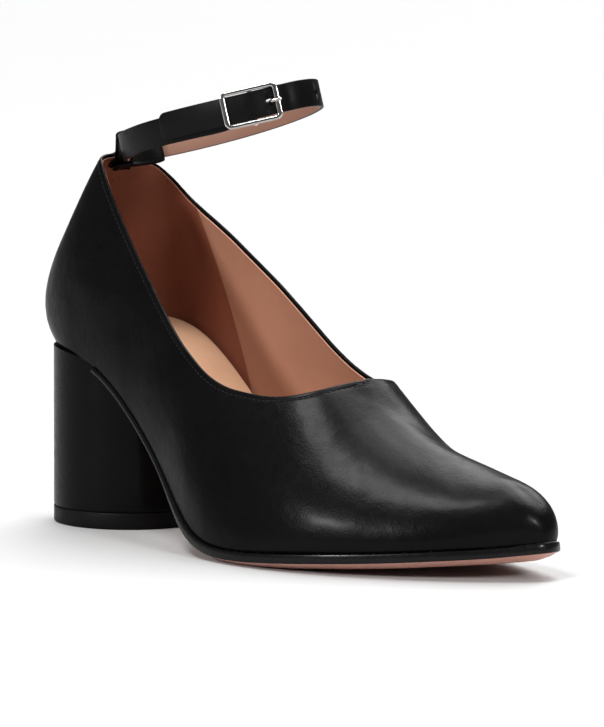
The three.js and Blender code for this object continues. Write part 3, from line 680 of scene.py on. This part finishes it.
# Groove of the stitch line, and the soft hollows of worn leather, in millimetres out of the surface
STITCH_LINE = 1.6
HOLLOWS = [
    (118, 4, 14, 3.2, 62, 0.35),
    (126, -8, 16, 3.5, 40, 0.3),
    (140, 6, 12, 4.0, 30, 0.3),
]


def leather_shape(surface, ups):
    shape = np.zeros(ups.shape)
    groove = np.exp(-(((edge_distance(surface) - STITCH_LINE) / 0.35) ** 2))
    shape -= 0.13 * groove
    for x, y, length, width, turn, depth in HOLLOWS:
        c, s = math.cos(math.radians(turn)), math.sin(math.radians(turn))
        dx, dy = surface[..., 0] - x, surface[..., 1] - y
        far = ((dx * c + dy * s) / length) ** 2 + ((dy * c - dx * s) / width) ** 2
        shape -= depth * np.exp(-far) * np.clip((ups - 0.35) / 0.2, 0, 1)
    return shape


edge_curve = top_edge_curve(0.5)


def edge_distance(surface):
    far = np.full(surface.shape[:-1], 9.0)
    near = nearest(surface[:, -len(FINE) - 2 :], edge_curve)
    far[:, -len(FINE) - 2 :] = near
    return far


# The lining is thicker over the heel, with a skived edge across each side
def heel_lining_edge(height):
    return HEEL_LINING_TOP + HEEL_LINING_SLANT * (COLLAR_HEIGHT - height)


def lining_shape(surface, ups):
    return -0.35 / (1 + np.exp((heel_lining_edge(surface[..., 2]) - surface[..., 0]) / 0.35))


# Leather stretched over the toe: each point there moves towards the middle of its neighbours
def relax(piece, rounds):
    mesh = piece.data
    points = np.empty(len(mesh.vertices) * 3)
    mesh.vertices.foreach_get("co", points)
    points = points.reshape(-1, 3) / MM
    pairs = np.empty(len(mesh.edges) * 2, int)
    mesh.edges.foreach_get("vertices", pairs)
    one, two = pairs.reshape(-1, 2).T
    count = np.bincount(pairs, minlength=len(points))
    free = np.clip((points[:, 0] - 150) / 22, 0, 1) * np.clip((points[:, 2] - 13) / 7, 0, 1)
    for _ in range(rounds):
        total = np.zeros(points.shape)
        for k in range(3):
            total[:, k] = np.bincount(one, points[two, k], len(points))
            total[:, k] += np.bincount(two, points[one, k], len(points))
        points += 0.5 * free[:, None] * (total / count[:, None] - points)
    mesh.vertices.foreach_set("co", (points * MM).ravel())
    mesh.update()


upper = settle(skin("upper_leather", (0.0, 1.1), 0.5, 0, 44, leather_shape, [black_leather]), "upper_leather", "upper")
lining = skin("upper_lining", (1.15, WALL), 1.25, 4.5, 30, lining_shape, [lining_leather])
settle(lining, "insole_leather", "upper")
relax(upper, 60)
relax(lining, 60)


# Stitches: small loops of thread lying in the groove, along the whole top edge

def stitch_row(name, path, normals, pitch, length, width, material):
    steps = np.linalg.norm(np.diff(path, axis=0), axis=1)
    run = np.concatenate([[0], np.cumsum(steps)])
    count = int(run[-1] / pitch)
    at = (np.arange(count) + 0.5) * run[-1] / count
    place = np.stack([np.interp(at, run, path[:, k]) for k in range(3)], axis=1)
    ahead = np.stack([np.interp(at + 0.4, run, path[:, k]) for k in range(3)], axis=1)
    ahead = unit(ahead - place + 1e-9)
    out = unit(np.stack([np.interp(at, run, normals[:, k]) for k in range(3)], axis=1))
    side = unit(np.cross(out, ahead))
    points = []
    faces = []
    rings, sides = 5, 6
    for i in range(count):
        first = len(points)
        for r in range(rings + 1):
            u = -1 + 2 * r / rings
            thick = width / 2 * math.sqrt(max(1 - abs(u) ** 3, 0.05))
            for s in range(sides):
                turn = 2 * math.pi * s / sides
                bow = width * 0.25 * (1 - u * u)
                points.append(
                    place[i]
                    + ahead[i] * (u * length / 2)
                    + side[i] * (math.cos(turn) * thick)
                    + out[i] * (math.sin(turn) * thick * 0.8 + bow)
                )
        faces += ring_faces(rings + 1, sides, first=first)
        faces.append(tuple(first + k for k in range(sides)))
        faces.append(tuple(first + rings * sides + k for k in range(sides)))
    return add_mesh(name, points, faces, [material], weld=1e-5)


# A line on the leather at a distance below the top edge, all the way round
def line_below_edge(distance):
    count = len(all_places)
    loop = list(range(REAR + 1)) + list(range(count - REAR + 1, count))
    places = all_places[loop]
    top = top_of(places, 0.5)
    ends = last_point(places, top)
    normals = last_normal(places, top)
    along = np.roll(ends, -1, axis=0) - np.roll(ends, 1, axis=0)
    down = unit(np.cross(along, normals))
    wanted = ends + down * distance
    vertices = np.array([v.co for v in upper.data.vertices]) / MM
    tree_points = vertices
    found = []
    for target in wanted:
        near = ((tree_points - target) ** 2).sum(1)
        best = np.argsort(near)[:6]
        found.append((tree_points[best] / near[best, None].clip(1e-6)).sum(0) / (1 / near[best].clip(1e-6)).sum())
    found = np.array(found)
    height = ((found - wanted) * normals).sum(1)
    line = wanted + normals * height[:, None]
    return np.vstack([line, line[:1]]), np.vstack([normals, normals[:1]])


path, normals = line_below_edge(STITCH_LINE)
settle(stitch_row("topline_stitches", path, normals, 2.0, 1.45, 0.34, thread), "upper_leather")


# Insole: board with a padded sock, its edge rounded and a narrow gap all round

def insole_side(place, level, margin):
    height = edge_z(place) + level * INSOLE_THICKNESS
    zero = np.zeros(np.shape(place))
    up = np.where(
        level <= 0, zero, solve(lambda share: last_point(place, share)[..., 2] - height, zero, zero + 0.5)
    )
    away = WALL + CLEARANCE + margin
    flat = last_normal(place, up)
    flat[..., 2] = 0
    return last_point(place, up) - flat * (away / (flat**2).sum(-1))[..., None]


def insole():
    places = side_places(60, 70)
    profile = [(0.0, 0.0), (0.45, 0.35), (0.8, 0.75), (0.9, 0.95), (0.96, 1.3), (0.99, 1.8), (1.0, 2.4)]
    across = 22
    rings = []
    side = {}
    for sign, at in ((0, places), (1, 2 * TOE - places)):
        side[sign] = np.stack([insole_side(at, level, margin) for level, margin in profile], axis=1)
    for i in range(len(places)):
        one, two = side[0][i], side[1][i]
        t = np.linspace(0, 1, across + 1)[1:-1]
        top = one[-1] + (two[-1] - one[-1]) * t[:, None]
        width = np.linalg.norm(two[-1] - one[-1])
        top[:, 2] += min(0.9, width * 0.03) * (1 - (2 * t - 1) ** 4)
        bottom = two[0] + (one[0] - two[0]) * t[:, None]
        rings.append(np.concatenate([one, top, two[::-1], bottom]))
    rings = np.array(rings)
    size = rings.shape[1]
    faces = ring_faces(len(rings), size)
    # The second slot holds the painted shade for the edge gap, and no face uses it
    piece = add_mesh("insole_sock", rings.reshape(-1, 3), faces, [sock_leather, insole_gap_shade], weld=0.01)
    for face in piece.data.polygons:
        face.material_index = 0
    return piece


settle(insole(), "insole_leather", "insole")


# Outsole: a thin leather sole with a rounded black edge, cut round at the heel's breast

def outsole():
    rear = float(solve(lambda place: edge_x(place) - BREAST_REACH, 1, TOE / 2))
    share = np.linspace(0, 1, 150)
    places = rear + (TOE - rear) * (1 - (1 - share) ** 1.35)
    waist_rise = 0.4 * (HEEL_HEIGHT - BALL_HEIGHT)
    x0 = float(edge_x(np.array(rear)))
    x1 = x0 + 34
    x_samples = edge_x(np.linspace(rear - 0.5, TOE / 2 + 2, 600))
    place_samples = np.linspace(rear - 0.5, TOE / 2 + 2, 600)
    cutter = HEEL_RADIUS + CLEARANCE

    def under(place, inset, depth):
        slope = slope_of(bottom_edge, place)
        down = unit(stacked(slope, 0, -1))
        inwards = -outward(place)
        inwards[..., 2] = slope * inwards[..., 0]
        return bottom_edge(place) + inwards * inset[..., None] + down * depth[..., None]

    def thickness(place):
        t = np.clip((edge_z(place) - BALL_HEIGHT - TOE_SPRING * 0.1) / (waist_rise - TOE_SPRING * 0.1), 0, 1)
        risen = t * t * (3 - 2 * t)
        return np.where(place < TOE / 2, 1 - (1 - WAIST_SHARE) * risen, 1.0)

    rings = []
    for place in places:
        k = float(thickness(np.array(place)))
        edge = SOLE_EDGE * k
        proud = SOLE_PROUD * k
        profile = [
            (1.2, CLEARANCE),
            (-proud + 0.5, CLEARANCE),
            (-proud + 0.12, CLEARANCE + 0.12),
            (-proud, CLEARANCE + 0.45),
            (-proud - 0.05, CLEARANCE + edge * 0.5),
            (-proud, CLEARANCE + edge - 0.45),
            (-proud + 0.15, CLEARANCE + edge - 0.12),
            (-proud + 0.55, CLEARANCE + edge + 0.04),
            (SOLE_BEVEL * 0.45, CLEARANCE + edge + (SOLE_THICKNESS * k - edge) * 0.62),
            (SOLE_BEVEL, CLEARANCE + SOLE_THICKNESS * k),
        ]
        inset = np.array([p[0] for p in profile])
        depth = np.array([p[1] for p in profile])
        one = under(np.full(len(profile), place), inset, depth)
        two = under(np.full(len(profile), 2 * TOE - place), inset, depth)
        across = np.linspace(0, 1, 16)[1:-1, None]
        bottom = one[-1] + (two[-1] - one[-1]) * across
        top = two[0] + (one[0] - two[0]) * across
        rings.append(np.concatenate([one, bottom, two[::-1], top]))
    rings = np.array(rings)

    # Points near the heel move ahead of its round face, and up or down with the arch
    x, y = rings[..., 0], rings[..., 1]
    start = np.maximum(x0, np.sqrt(np.maximum(cutter**2 - y**2, 0)))
    moved = np.where(x < x1, start + (x - x0) * (x1 - start) / (x1 - x0), x)
    height = lambda value: np.interp(value, x_samples, edge_z(place_samples))
    rings[..., 2] += height(moved) - height(x)
    rings[..., 0] = moved
    rings[..., 2] = np.maximum(rings[..., 2], 0)
    size = rings.shape[1]
    faces = ring_faces(len(rings), size)
    faces.append(tuple(range(size)))
    piece = add_mesh("outsole_leather", rings.reshape(-1, 3), faces, [sole_edge_paint, sole_leather], sharp=50)
    for face in piece.data.polygons:
        normal = face.normal
        face.material_index = 1 if normal.z < -0.62 else 0
    return piece


settle(outsole(), "sole_leather", "outsole")


# Heel block: leather pulled over a round column, folded under at the lift and seamed at the breast

SEAM = 0.05


def seat_height(x):
    samples = np.linspace(0, TOE / 2, 400)
    xs = edge_x(samples)
    drop = SEAM * np.hypot(1, slope_of(bottom_edge, samples))
    return np.interp(x, xs, edge_z(samples) - drop)


def heel():
    sides = 144
    turns = 2 * np.pi * np.arange(sides) / sides
    low = TOP_LIFT + SEAM
    fold = 0.6
    shares = np.concatenate([np.linspace(0, 0.04, 4), np.linspace(0.08, 0.97, 26), [1.0]])
    seam = np.exp(-((np.angle(np.exp(1j * turns)) / 0.02) ** 2)) * 0.18
    rings = []
    top = seat_height(np.clip((HEEL_RADIUS - HEEL_TAPER) * np.cos(turns), SEAT_BACK + 0.01, None))
    for radius, z in ((HEEL_RADIUS - 2.5, low), (HEEL_RADIUS - fold, low)):
        rings.append(stacked(radius * np.cos(turns), radius * np.sin(turns), z))
    for turn in (30, 60):
        a = math.radians(turn)
        radius = HEEL_RADIUS - fold + fold * math.sin(a)
        rings.append(stacked(radius * np.cos(turns), radius * np.sin(turns), low + fold * (1 - math.cos(a))))
    for share in shares:
        radius = HEEL_RADIUS - HEEL_TAPER * share - seam
        z = low + fold + (top - low - fold) * share
        rings.append(stacked(radius * np.cos(turns), radius * np.sin(turns), z))
    for inset in (0.6, 5, 14, 27):
        radius = HEEL_RADIUS - HEEL_TAPER - inset
        x = radius * np.cos(turns)
        rings.append(stacked(x, radius * np.sin(turns), seat_height(np.maximum(x, SEAT_BACK + 0.01))))
    return tube("heel_cover", rings, [heel_leather], sharp=60)


settle(heel(), "heel_cover", "heel_block")


def lathe(name, profile, sides, materials, sharp=None):
    turns = 2 * np.pi * np.arange(sides) / sides
    rings = [stacked(radius * np.cos(turns), radius * np.sin(turns), z) for radius, z in profile]
    return tube(name, rings, materials, sharp=sharp)


lift_profile = [
    (1.0, 0.0),
    (14.0, 0.0),
    (HEEL_RADIUS - 0.6, 0.0),
    (HEEL_RADIUS - 0.2, 0.15),
    (HEEL_RADIUS, 0.55),
    (HEEL_RADIUS, 2.0),
    (HEEL_RADIUS, TOP_LIFT - 0.5),
    (HEEL_RADIUS - 0.12, TOP_LIFT - 0.15),
    (HEEL_RADIUS - 0.5, TOP_LIFT),
    (14.0, TOP_LIFT),
    (1.0, TOP_LIFT),
]
settle(lathe("heel_lift", lift_profile, 144, [lift_rubber], sharp=50), "lift_rubber", "top_lift")


# Ankle strap: a flat loop, pitched and turned into place

pitch = math.radians(STRAP_PITCH)
turned = math.radians(STRAP_TURN)
strap_ahead = np.array([math.cos(pitch) * math.cos(turned), math.cos(pitch) * math.sin(turned), math.sin(pitch)])
strap_aside = np.array([-math.sin(turned), math.cos(turned), 0])
strap_up = np.cross(strap_ahead, strap_aside)
strap_middle = np.array([STRAP_FORWARD, STRAP_ASIDE, STRAP_HEIGHT])


def in_shoe(flat, height):
    flat = np.asarray(flat, float)
    height = np.asarray(height, float)
    return (
        strap_middle + flat[..., 0:1] * strap_ahead + flat[..., 1:2] * strap_aside + height[..., None] * strap_up
    )


# A point of the loop: turn in degrees from the front through the outer side, off outwards from its inside
def loop_point(turn, off):
    angle = np.radians(turn)
    out = np.stack([np.cos(angle) / STRAP_HALF_LENGTH, -np.sin(angle) / STRAP_HALF_WIDTH], axis=-1)
    on = np.stack([STRAP_HALF_LENGTH * np.cos(angle), -STRAP_HALF_WIDTH * np.sin(angle)], axis=-1)
    return on + unit(out) * np.asarray(off)[..., None]


buckle_origin = loop_point(np.array(BUCKLE_AT), 0)
buckle_out = loop_point(np.array(BUCKLE_AT), 1) - buckle_origin
buckle_ahead = np.array([-buckle_out[1], buckle_out[0]])


def at_buckle(ahead, out):
    return buckle_origin + np.multiply.outer(ahead, buckle_ahead) + np.multiply.outer(out, buckle_out)


BAR_OUT = -0.2
EYE_RADIUS = BAR_RADIUS + CLEARANCE + 0.95
FIXED_OUT = STRAP_THICKNESS / 2
FREE_OUT = BAR_OUT + EYE_RADIUS + CLEARANCE + STRAP_THICKNESS / 2
LAYERED = STRAP_THICKNESS + CLEARANCE + STRAP_THICKNESS / 2
FLAT_REACH = BUCKLE_LENGTH / 2 + 3
LOOP_GAP = 24
TURN_PER_LENGTH = 1.72
PRONG_HOLE = 6.4


# A smooth curve through points, with its speed set by the share between them
def smooth_curve(points, samples, power):
    points = np.asarray(points, float)
    before = 2 * points[0] - points[1] if power else points[0]
    after = 2 * points[-1] - points[-2] if power else points[-1]
    all_points = np.vstack([before, points, after])
    curve = []
    for i in range(len(points) - 1):
        p0, p1, p2, p3 = all_points[i : i + 4]
        d0, d1, d2 = (np.linalg.norm(b - a) ** power if power else 1.0 for a, b in ((p0, p1), (p1, p2), (p2, p3)))
        if power:
            t1 = ((p1 - p0) / d0 - (p2 - p0) / (d0 + d1) + (p2 - p1) / d1) * d1
            t2 = ((p2 - p1) / d1 - (p3 - p1) / (d1 + d2) + (p3 - p2) / d2) * d1
        else:
            t1, t2 = (p2 - p0) / 2, (p3 - p1) / 2
        t = np.linspace(0, 1, samples, endpoint=False)[:, None]
        rest = 1 - t
        curve.append(
            p1 * rest**2 * (1 + 2 * t) + p2 * t**2 * (1 + 2 * rest) + t * rest * (t1 * rest - t2 * t)
        )
    return np.vstack(curve + [points[-1:]])


# The same curve at even steps, and its direction
def even_steps(curve, count):
    run = np.concatenate([[0], np.cumsum(np.linalg.norm(np.diff(curve, axis=0), axis=1))])
    at = np.linspace(0, run[-1], count)
    even = np.stack([np.interp(at, run, curve[:, k]) for k in range(curve.shape[1])], axis=1)
    return even, unit(np.gradient(even, axis=0)), run[-1]


def strap_path():
    start = BUCKLE_AT + LOOP_GAP
    tip_turn = TURN_PER_LENGTH * (STRAP_TIP - FLAT_REACH)
    fixed = [(0, BAR_OUT), (-3.5, FIXED_OUT - 0.8), (-7, FIXED_OUT - 0.55)]
    free = [
        (FLAT_REACH - 4, FIXED_OUT - 0.15),
        (4.6, FREE_OUT - 1.05),
        (0, FREE_OUT),
        (-4.6, FREE_OUT - 0.2),
        (4 - FLAT_REACH, LAYERED - 0.65),
    ]
    around = start + (360 - 2 * LOOP_GAP) * np.arange(45) / 44
    tip = start + tip_turn * np.arange(5) / 4
    return np.vstack(
        [
            [at_buckle(a, o) for a, o in fixed],
            loop_point(around, np.full(45, FIXED_OUT)),
            [at_buckle(a, o) for a, o in free],
            loop_point(tip, np.full(5, LAYERED)),
        ]
    )


strap_line, strap_along, strap_length = even_steps(smooth_curve(strap_path(), 24, 0), 520)
strap_out = np.stack([-strap_along[:, 1], strap_along[:, 0]], axis=1)
strap_rise = open_spline(column(STRAP_RISES, 0), column(STRAP_RISES, 1))(np.linspace(0, 1, len(strap_line)))


# A ring round a flat strip: from low to high across its thickness, rounded at the corners
def strip_ring(low, high, half_width, radius, corner=3):
    radius = min(radius, (high - low) / 2 * 0.98)
    ring = []
    centres = [
        (high - radius, half_width - radius, 0),
        (low + radius, half_width - radius, 90),
        (low + radius, -half_width + radius, 180),
        (high - radius, -half_width + radius, 270),
    ]
    for off, across, first in centres:
        for k in range(corner + 1):
            a = math.radians(first + 90 * k / corner)
            # Turning from outwards to across
            ring.append((off + radius * math.cos(a), across + radius * math.sin(a)))
    return ring


def strap_layer(name, low, high, inset, radius, materials, first=0.0):
    count = len(strap_line)
    rings = []
    from_tip = (1 - np.arange(count) / (count - 1)) * strap_length
    begin = int(first * count)
    for i in range(begin, count):
        half_width = STRAP_WIDTH / 2 - inset
        corner = 3.4
        if from_tip[i] < corner:
            back = corner - max(from_tip[i], 0.02)
            half_width += -corner + math.sqrt(max(corner**2 - back**2, 0)) * 1.0
            half_width = max(half_width, STRAP_WIDTH / 2 - corner - inset + 0.05)
        ring = strip_ring(low, high, half_width, radius)
        flat = np.array([strap_line[i] + strap_out[i] * off for off, _ in ring])
        height = np.array([across for _, across in ring]) + strap_rise[i]
        rings.append(in_shoe(flat, height))
    return tube(name, rings, materials, sharp=50)


strap_leather_piece = strap_layer("strap_leather", -0.25, STRAP_THICKNESS / 2, 0.0, 0.3, [strap_leather])
strap_lining_piece = strap_layer("strap_lining", -STRAP_THICKNESS / 2, -0.27, 0.12, 0.2, [strap_lining_leather])


# Cuts shapes out of a piece and keeps the result as its mesh
def carve(piece, cutters):
    for cutter in cutters:
        change = piece.modifiers.new("carve", "BOOLEAN")
        change.operation = "DIFFERENCE"
        change.solver = "EXACT"
        change.object = cutter
    bpy.context.view_layer.update()
    done = piece.evaluated_get(bpy.context.evaluated_depsgraph_get())
    mesh = bpy.data.meshes.new_from_object(done)
    mesh.name = piece.name
    piece.modifiers.clear()
    piece.data = mesh
    for cutter in cutters:
        bpy.data.objects.remove(cutter)


def rod(name, start, end, radius, sides=24, stretch=1.0, stretch_along=None):
    start, end = np.asarray(start, float), np.asarray(end, float)
    axis = unit(end - start)
    one = unit(stretch_along) if stretch_along is not None else unit(np.cross(axis, [0.3, 0.9, 0.2]))
    two = np.cross(axis, one)
    turns = 2 * np.pi * np.arange(sides) / sides
    round_it = radius * (stretch * np.cos(turns)[:, None] * one + np.sin(turns)[:, None] * two)
    return tube(name, [start + round_it, end + round_it], [])


# The strap's holes, the first one where the prong passes
def hole_cutters():
    target = at_buckle(PRONG_HOLE, 1.6)
    late = int(len(strap_line) * 0.7)
    first = late + int(np.argmin(((strap_line[late:] - target) ** 2).sum(1)))
    step = strap_length / (len(strap_line) - 1)
    cutters = []
    for k in range(HOLE_COUNT):
        i = first - int(round(k * HOLE_PITCH / step))
        out = strap_out[i]
        rise = strap_rise[i]
        ahead = in_shoe(strap_line[i] + strap_along[i], rise) - in_shoe(strap_line[i], rise)
        ends = [in_shoe(strap_line[i] + out * off, rise) for off in (-2.2, 2.2)]
        wide = 1.5 if k == 0 else 1.0
        cutters.append(rod("cutter", ends[0], ends[1], HOLE_SIZE / 2, 28, wide, ahead))
    return cutters


# The slot at the strap's eye, for the prong's ring
def slot_cutter():
    slot = PRONG_THICKNESS + 2 * CLEARANCE + 0.4
    reach = EYE_RADIUS + 0.9
    corners = []
    for ahead in (-reach, reach):
        for out in (-EYE_RADIUS - 0.4, EYE_RADIUS - 0.25):
            for up in (-slot / 2, slot / 2):
                corners.append(in_shoe(at_buckle(ahead, out + BAR_OUT), np.array(up)))
    faces = [(0, 1, 3, 2), (4, 6, 7, 5), (0, 4, 5, 1), (2, 3, 7, 6), (0, 2, 6, 4), (1, 5, 7, 3)]
    return add_mesh("cutter", corners, faces, [])


carve(strap_leather_piece, hole_cutters() + [slot_cutter()])
carve(strap_lining_piece, hole_cutters() + [slot_cutter()])
settle(strap_leather_piece, "strap_leather", "ankle_strap")
settle(strap_lining_piece, "insole_leather", "ankle_strap")


# Buckle: a polished ring with rounded edges, its bar under the strap and its prong

FRAME_HALF_WIDTH = STRAP_WIDTH / 2 + CLEARANCE + BUCKLE_SIDE_RAIL
FRAME_OUT = FREE_OUT + STRAP_THICKNESS / 2 - BUCKLE_THICKNESS
FRAME_TILT = -0.075


def buckle_point(ahead, out, up):
    flat = buckle_origin + np.multiply.outer(ahead, buckle_ahead) + np.multiply.outer(out, buckle_out)
    return in_shoe(flat, np.asarray(up, float))


def buckle_ring():
    half_length = BUCKLE_LENGTH / 2 - BUCKLE_RAIL / 2
    half_width = FRAME_HALF_WIDTH - BUCKLE_SIDE_RAIL / 2
    radius = 1.7
    path = []
    for cx, cy, first in (
        (half_length - radius, half_width - radius, 0),
        (-half_length + radius, half_width - radius, 90),
        (-half_length + radius, -half_width + radius, 180),
        (half_length - radius, -half_width + radius, 270),
    ):
        for k in range(9):
            a = math.radians(first + 90 * k / 8)
            path.append((cx + radius * math.cos(a), cy + radius * math.sin(a), math.cos(a), math.sin(a)))
    rings = []
    tilt_c, tilt_s = math.cos(FRAME_TILT), math.sin(FRAME_TILT)
    for x, y, nx, ny in path:
        ring = []
        half = (BUCKLE_RAIL * nx * nx + BUCKLE_SIDE_RAIL * ny * ny) / 2
        for off, across in strip_ring(0, BUCKLE_THICKNESS, half, 0.45, 4):
            ahead, up = x + nx * across, y + ny * across
            ring.append(buckle_point(ahead * tilt_c - off * tilt_s, ahead * tilt_s + off * tilt_c + FRAME_OUT, up))
        rings.append(ring)
    return tube("buckle_ring", rings, [silver], closed=True, sharp=70)


settle(buckle_ring(), "buckle_metal", "buckle_frame")


def buckle_bar():
    pieces = []
    middle = (STRAP_WIDTH + BUCKLE_SIDE_RAIL) / 2 + CLEARANCE
    top = FRAME_OUT + 0.2
    path = [(top, -middle), (top - 0.6, -middle), (BAR_OUT + 0.35, -middle - 0.02)]
    points = [buckle_point(0.0, out, up) for out, up in path]
    points += [buckle_point(0.0, BAR_OUT, up) for up in (-middle + 0.6, 0, middle - 0.6)]
    points += [buckle_point(0.0, out, -up) for out, up in path[::-1]]
    curve, along, _ = even_steps(smooth_curve(points, 12, 0.5), 60)
    return round_sweep("buckle_bar", curve, np.full(60, BAR_RADIUS * 0.92), [silver])


def round_sweep(name, curve, radii, materials, sides=16):
    along = unit(np.gradient(curve, axis=0))
    side = np.cross(along[0], [0.31, 0.22, 0.93])
    rings = []
    for point, direction, radius in zip(curve, along, radii):
        side = unit(side - direction * (side @ direction))
        other = np.cross(direction, side)
        turns = 2 * np.pi * np.arange(sides) / sides
        rings.append(point + radius * (np.cos(turns)[:, None] * side + np.sin(turns)[:, None] * other))
    return tube(name, rings, materials, sharp=60)


settle(buckle_bar(), "buckle_metal", "buckle_frame")


def prong_needle():
    half = PRONG_THICKNESS / 2
    front_inside = BUCKLE_LENGTH / 2 - BUCKLE_RAIL
    front_top = FRAME_OUT + BUCKLE_THICKNESS + front_inside * FRAME_TILT + CLEARANCE + half
    ring_radius = BAR_RADIUS + CLEARANCE + half
    turns = np.radians(np.arange(20, 341, 20))
    points = [(ring_radius * math.cos(a), BAR_OUT + ring_radius * math.sin(a)) for a in turns]
    points += [
        (3.4, BAR_OUT - 0.1),
        (PRONG_HOLE - 0.9, 0.3),
        (PRONG_HOLE + 0.2, 1.9),
        (PRONG_HOLE + 1.3, front_top),
        (BUCKLE_LENGTH / 2 + 0.7, front_top),
    ]
    curve, _, _ = even_steps(smooth_curve([buckle_point(a, o, 0.0) for a, o in points], 10, 0.5), 110)
    radii = np.full(110, half)
    radii[-6:] = half * np.sqrt(1 - (np.arange(6) / 6.4) ** 2)
    return round_sweep("prong_needle", curve, radii, [silver])


settle(prong_needle(), "prong_metal", "buckle_prong")


# Back tab: a strip of leather folded round the strap, its ends inside the collar

def collar_at(aside):
    def place_of(at):
        return np.where(aside > 0, np.mod(2 * TOE - at, 2 * TOE), at)

    def past(at):
        place = place_of(at)
        return np.abs(last_point(place, top_of(place))[..., 1]) - abs(aside)

    place = float(place_of(solve(past, np.array(0.0), np.array(4.0))))
    edge = float(top_of(np.array(place)))
    edge_height = last_point(place, edge)[2]

    def inner(forward, height):
        wanted = min(edge_height, COLLAR_HEIGHT - 2) + min(height, 0)
        up = solve(lambda share: last_point(np.full(share.shape, place), share)[..., 2] - wanted, edge / 2, edge)
        return last_point(place, up) - last_normal(place, up) * (WALL + forward)

    return inner


def back_tab():
    half = TAB_THICKNESS / 2
    reach = CLEARANCE + half
    top = STRAP_WIDTH / 2
    second = reach + TAB_THICKNESS + CLEARANCE
    middle = STRAP_THICKNESS / 2
    corner = 0.75 * reach
    across = 28
    steps = 120
    shares = np.linspace(-1, 1, across + 1)
    curves = []
    for share in shares:
        inner = collar_at(share * TAB_WIDTH * TAB_TAPER * 0.36 - 0.6 * TAB_FOOT_ASIDE)
        turn = 180 + TAB_TURN + math.degrees(share * TAB_WIDTH / 2 / STRAP_HALF_WIDTH)

        def on_strap(off, height):
            return in_shoe(loop_point(np.array(turn), np.array(off)), np.array(height))

        points = [
            inner(reach, -TAB_FOOT),
            inner(reach + 0.2, 0),
            on_strap(STRAP_THICKNESS + reach + 0.3, top - 1),
            on_strap(STRAP_THICKNESS + corner, top + corner),
            on_strap(middle, top + reach + 0.1),
            on_strap(-corner, top + corner),
            on_strap(-reach, top - 1),
            on_strap(-reach, 1 - top),
            on_strap(-corner, -top - corner),
            on_strap(middle, -top - reach - 0.1),
            inner(second + 0.6, -1.2),
            inner(second, -TAB_FOOT),
        ]
        curves.append(even_steps(smooth_curve(points, 24, 0.5), steps)[0])
    curves = np.array(curves)
    normals = unit(np.cross(np.gradient(curves, axis=0), np.gradient(curves, axis=1)))
    offsets = normals * (half * (1 - np.abs(shares) ** 14 * 0.55))[:, None, None]
    rings = np.concatenate([curves + offsets, (curves - offsets)[:, ::-1]], axis=1)
    return loft("tab_leather", rings, [tab_leather], sharp=45)


settle(back_tab(), "tab_leather", "back_tab")


# Floor, lights and camera

def plain(name, colour, roughness):
    material, nodes, links, shader = new_material(name)
    shader.inputs["Base Color"].default_value = (*colour, 1)
    shader.inputs["Roughness"].default_value = roughness
    shader.inputs["Specular IOR Level"].default_value = 0.2
    return material


def floor():
    reach = 12000
    corners = [(-reach, -reach, 0), (reach, -reach, 0), (reach, reach, 0), (-reach, reach, 0)]
    piece = add_mesh("floor", corners, [(0, 1, 2, 3)], [plain("pale floor", (0.385, 0.385, 0.385), 0.7)])


floor()

world = bpy.data.worlds.new("studio")
bpy.context.scene.world = world
world.use_nodes = True
world.node_tree.nodes["Background"].inputs["Color"].default_value = (1, 1, 1, 1)
world.node_tree.nodes["Background"].inputs["Strength"].default_value = 0.12
bpy.context.scene.view_settings.view_transform = "Standard"


def aimed(name, data, middle, towards):
    lamp = bpy.data.objects.new(name, data)
    bpy.context.scene.collection.objects.link(lamp)
    lamp.location = middle
    lamp.rotation_euler = (Vector(towards) - Vector(middle)).to_track_quat("-Z", "Y").to_euler()


# Large soft lights: one straight above that whitens the floor, one behind that greys the vamp
def sky_light(name, direction, angle, strength):
    data = bpy.data.lights.new(name, "SUN")
    data.angle = math.radians(angle)
    data.energy = strength
    aimed(name, data, Vector(direction) * 3, (0, 0, 0))


def soft_light(name, middle, towards, width, height, power):
    data = bpy.data.lights.new(name, "AREA")
    data.shape = "RECTANGLE"
    data.size = width
    data.size_y = height
    data.energy = power
    aimed(name, data, middle, towards)


sky_light("overhead", (-0.1, -0.34, 0.93), 18, 2.6)
sky_light("behind", (-0.285, 0.565, 0.778), 48, 4)
sky_light("top", (0, 0.2, 0.98), 28, 1.6)
soft_light("left strip", (-0.17, -1.5, 0.35), (0, 0, 0.03), 0.05, 1.2, 0.22)
soft_light("left", (-0.01, -1.84, 0.88), (0.147, -0.037, 0.017), 0.34, 0.22, 26)
soft_light("toe", (1.96, -0.22, 0.96), (0.2, 0, 0.02), 0.3, 0.3, 26)


def camera():
    turn, rise, away = math.radians(48), math.radians(6.7), 2.0
    back = Vector((math.sin(turn) * math.cos(rise), -math.cos(turn) * math.cos(rise), math.sin(rise)))
    right = Vector((math.cos(turn), math.sin(turn), 0))
    up = back.cross(right)
    scale = 2860
    focal = scale * away
    target = Vector((0.085, 0, 0.06)) + right * ((302 - 288.23) / scale) - up * ((363.5 - 375.06) / scale)
    data = bpy.data.cameras.new("camera")
    data.sensor_fit = "AUTO"
    data.sensor_width = 36
    data.lens = focal * 36 / 727
    data.clip_start = 0.1
    data.clip_end = 100
    eye = bpy.data.objects.new("camera", data)
    bpy.context.scene.collection.objects.link(eye)
    eye.location = target + back * away
    eye.rotation_euler = back.to_track_quat("Z", "Y").to_euler()
    bpy.context.scene.camera = eye


camera()
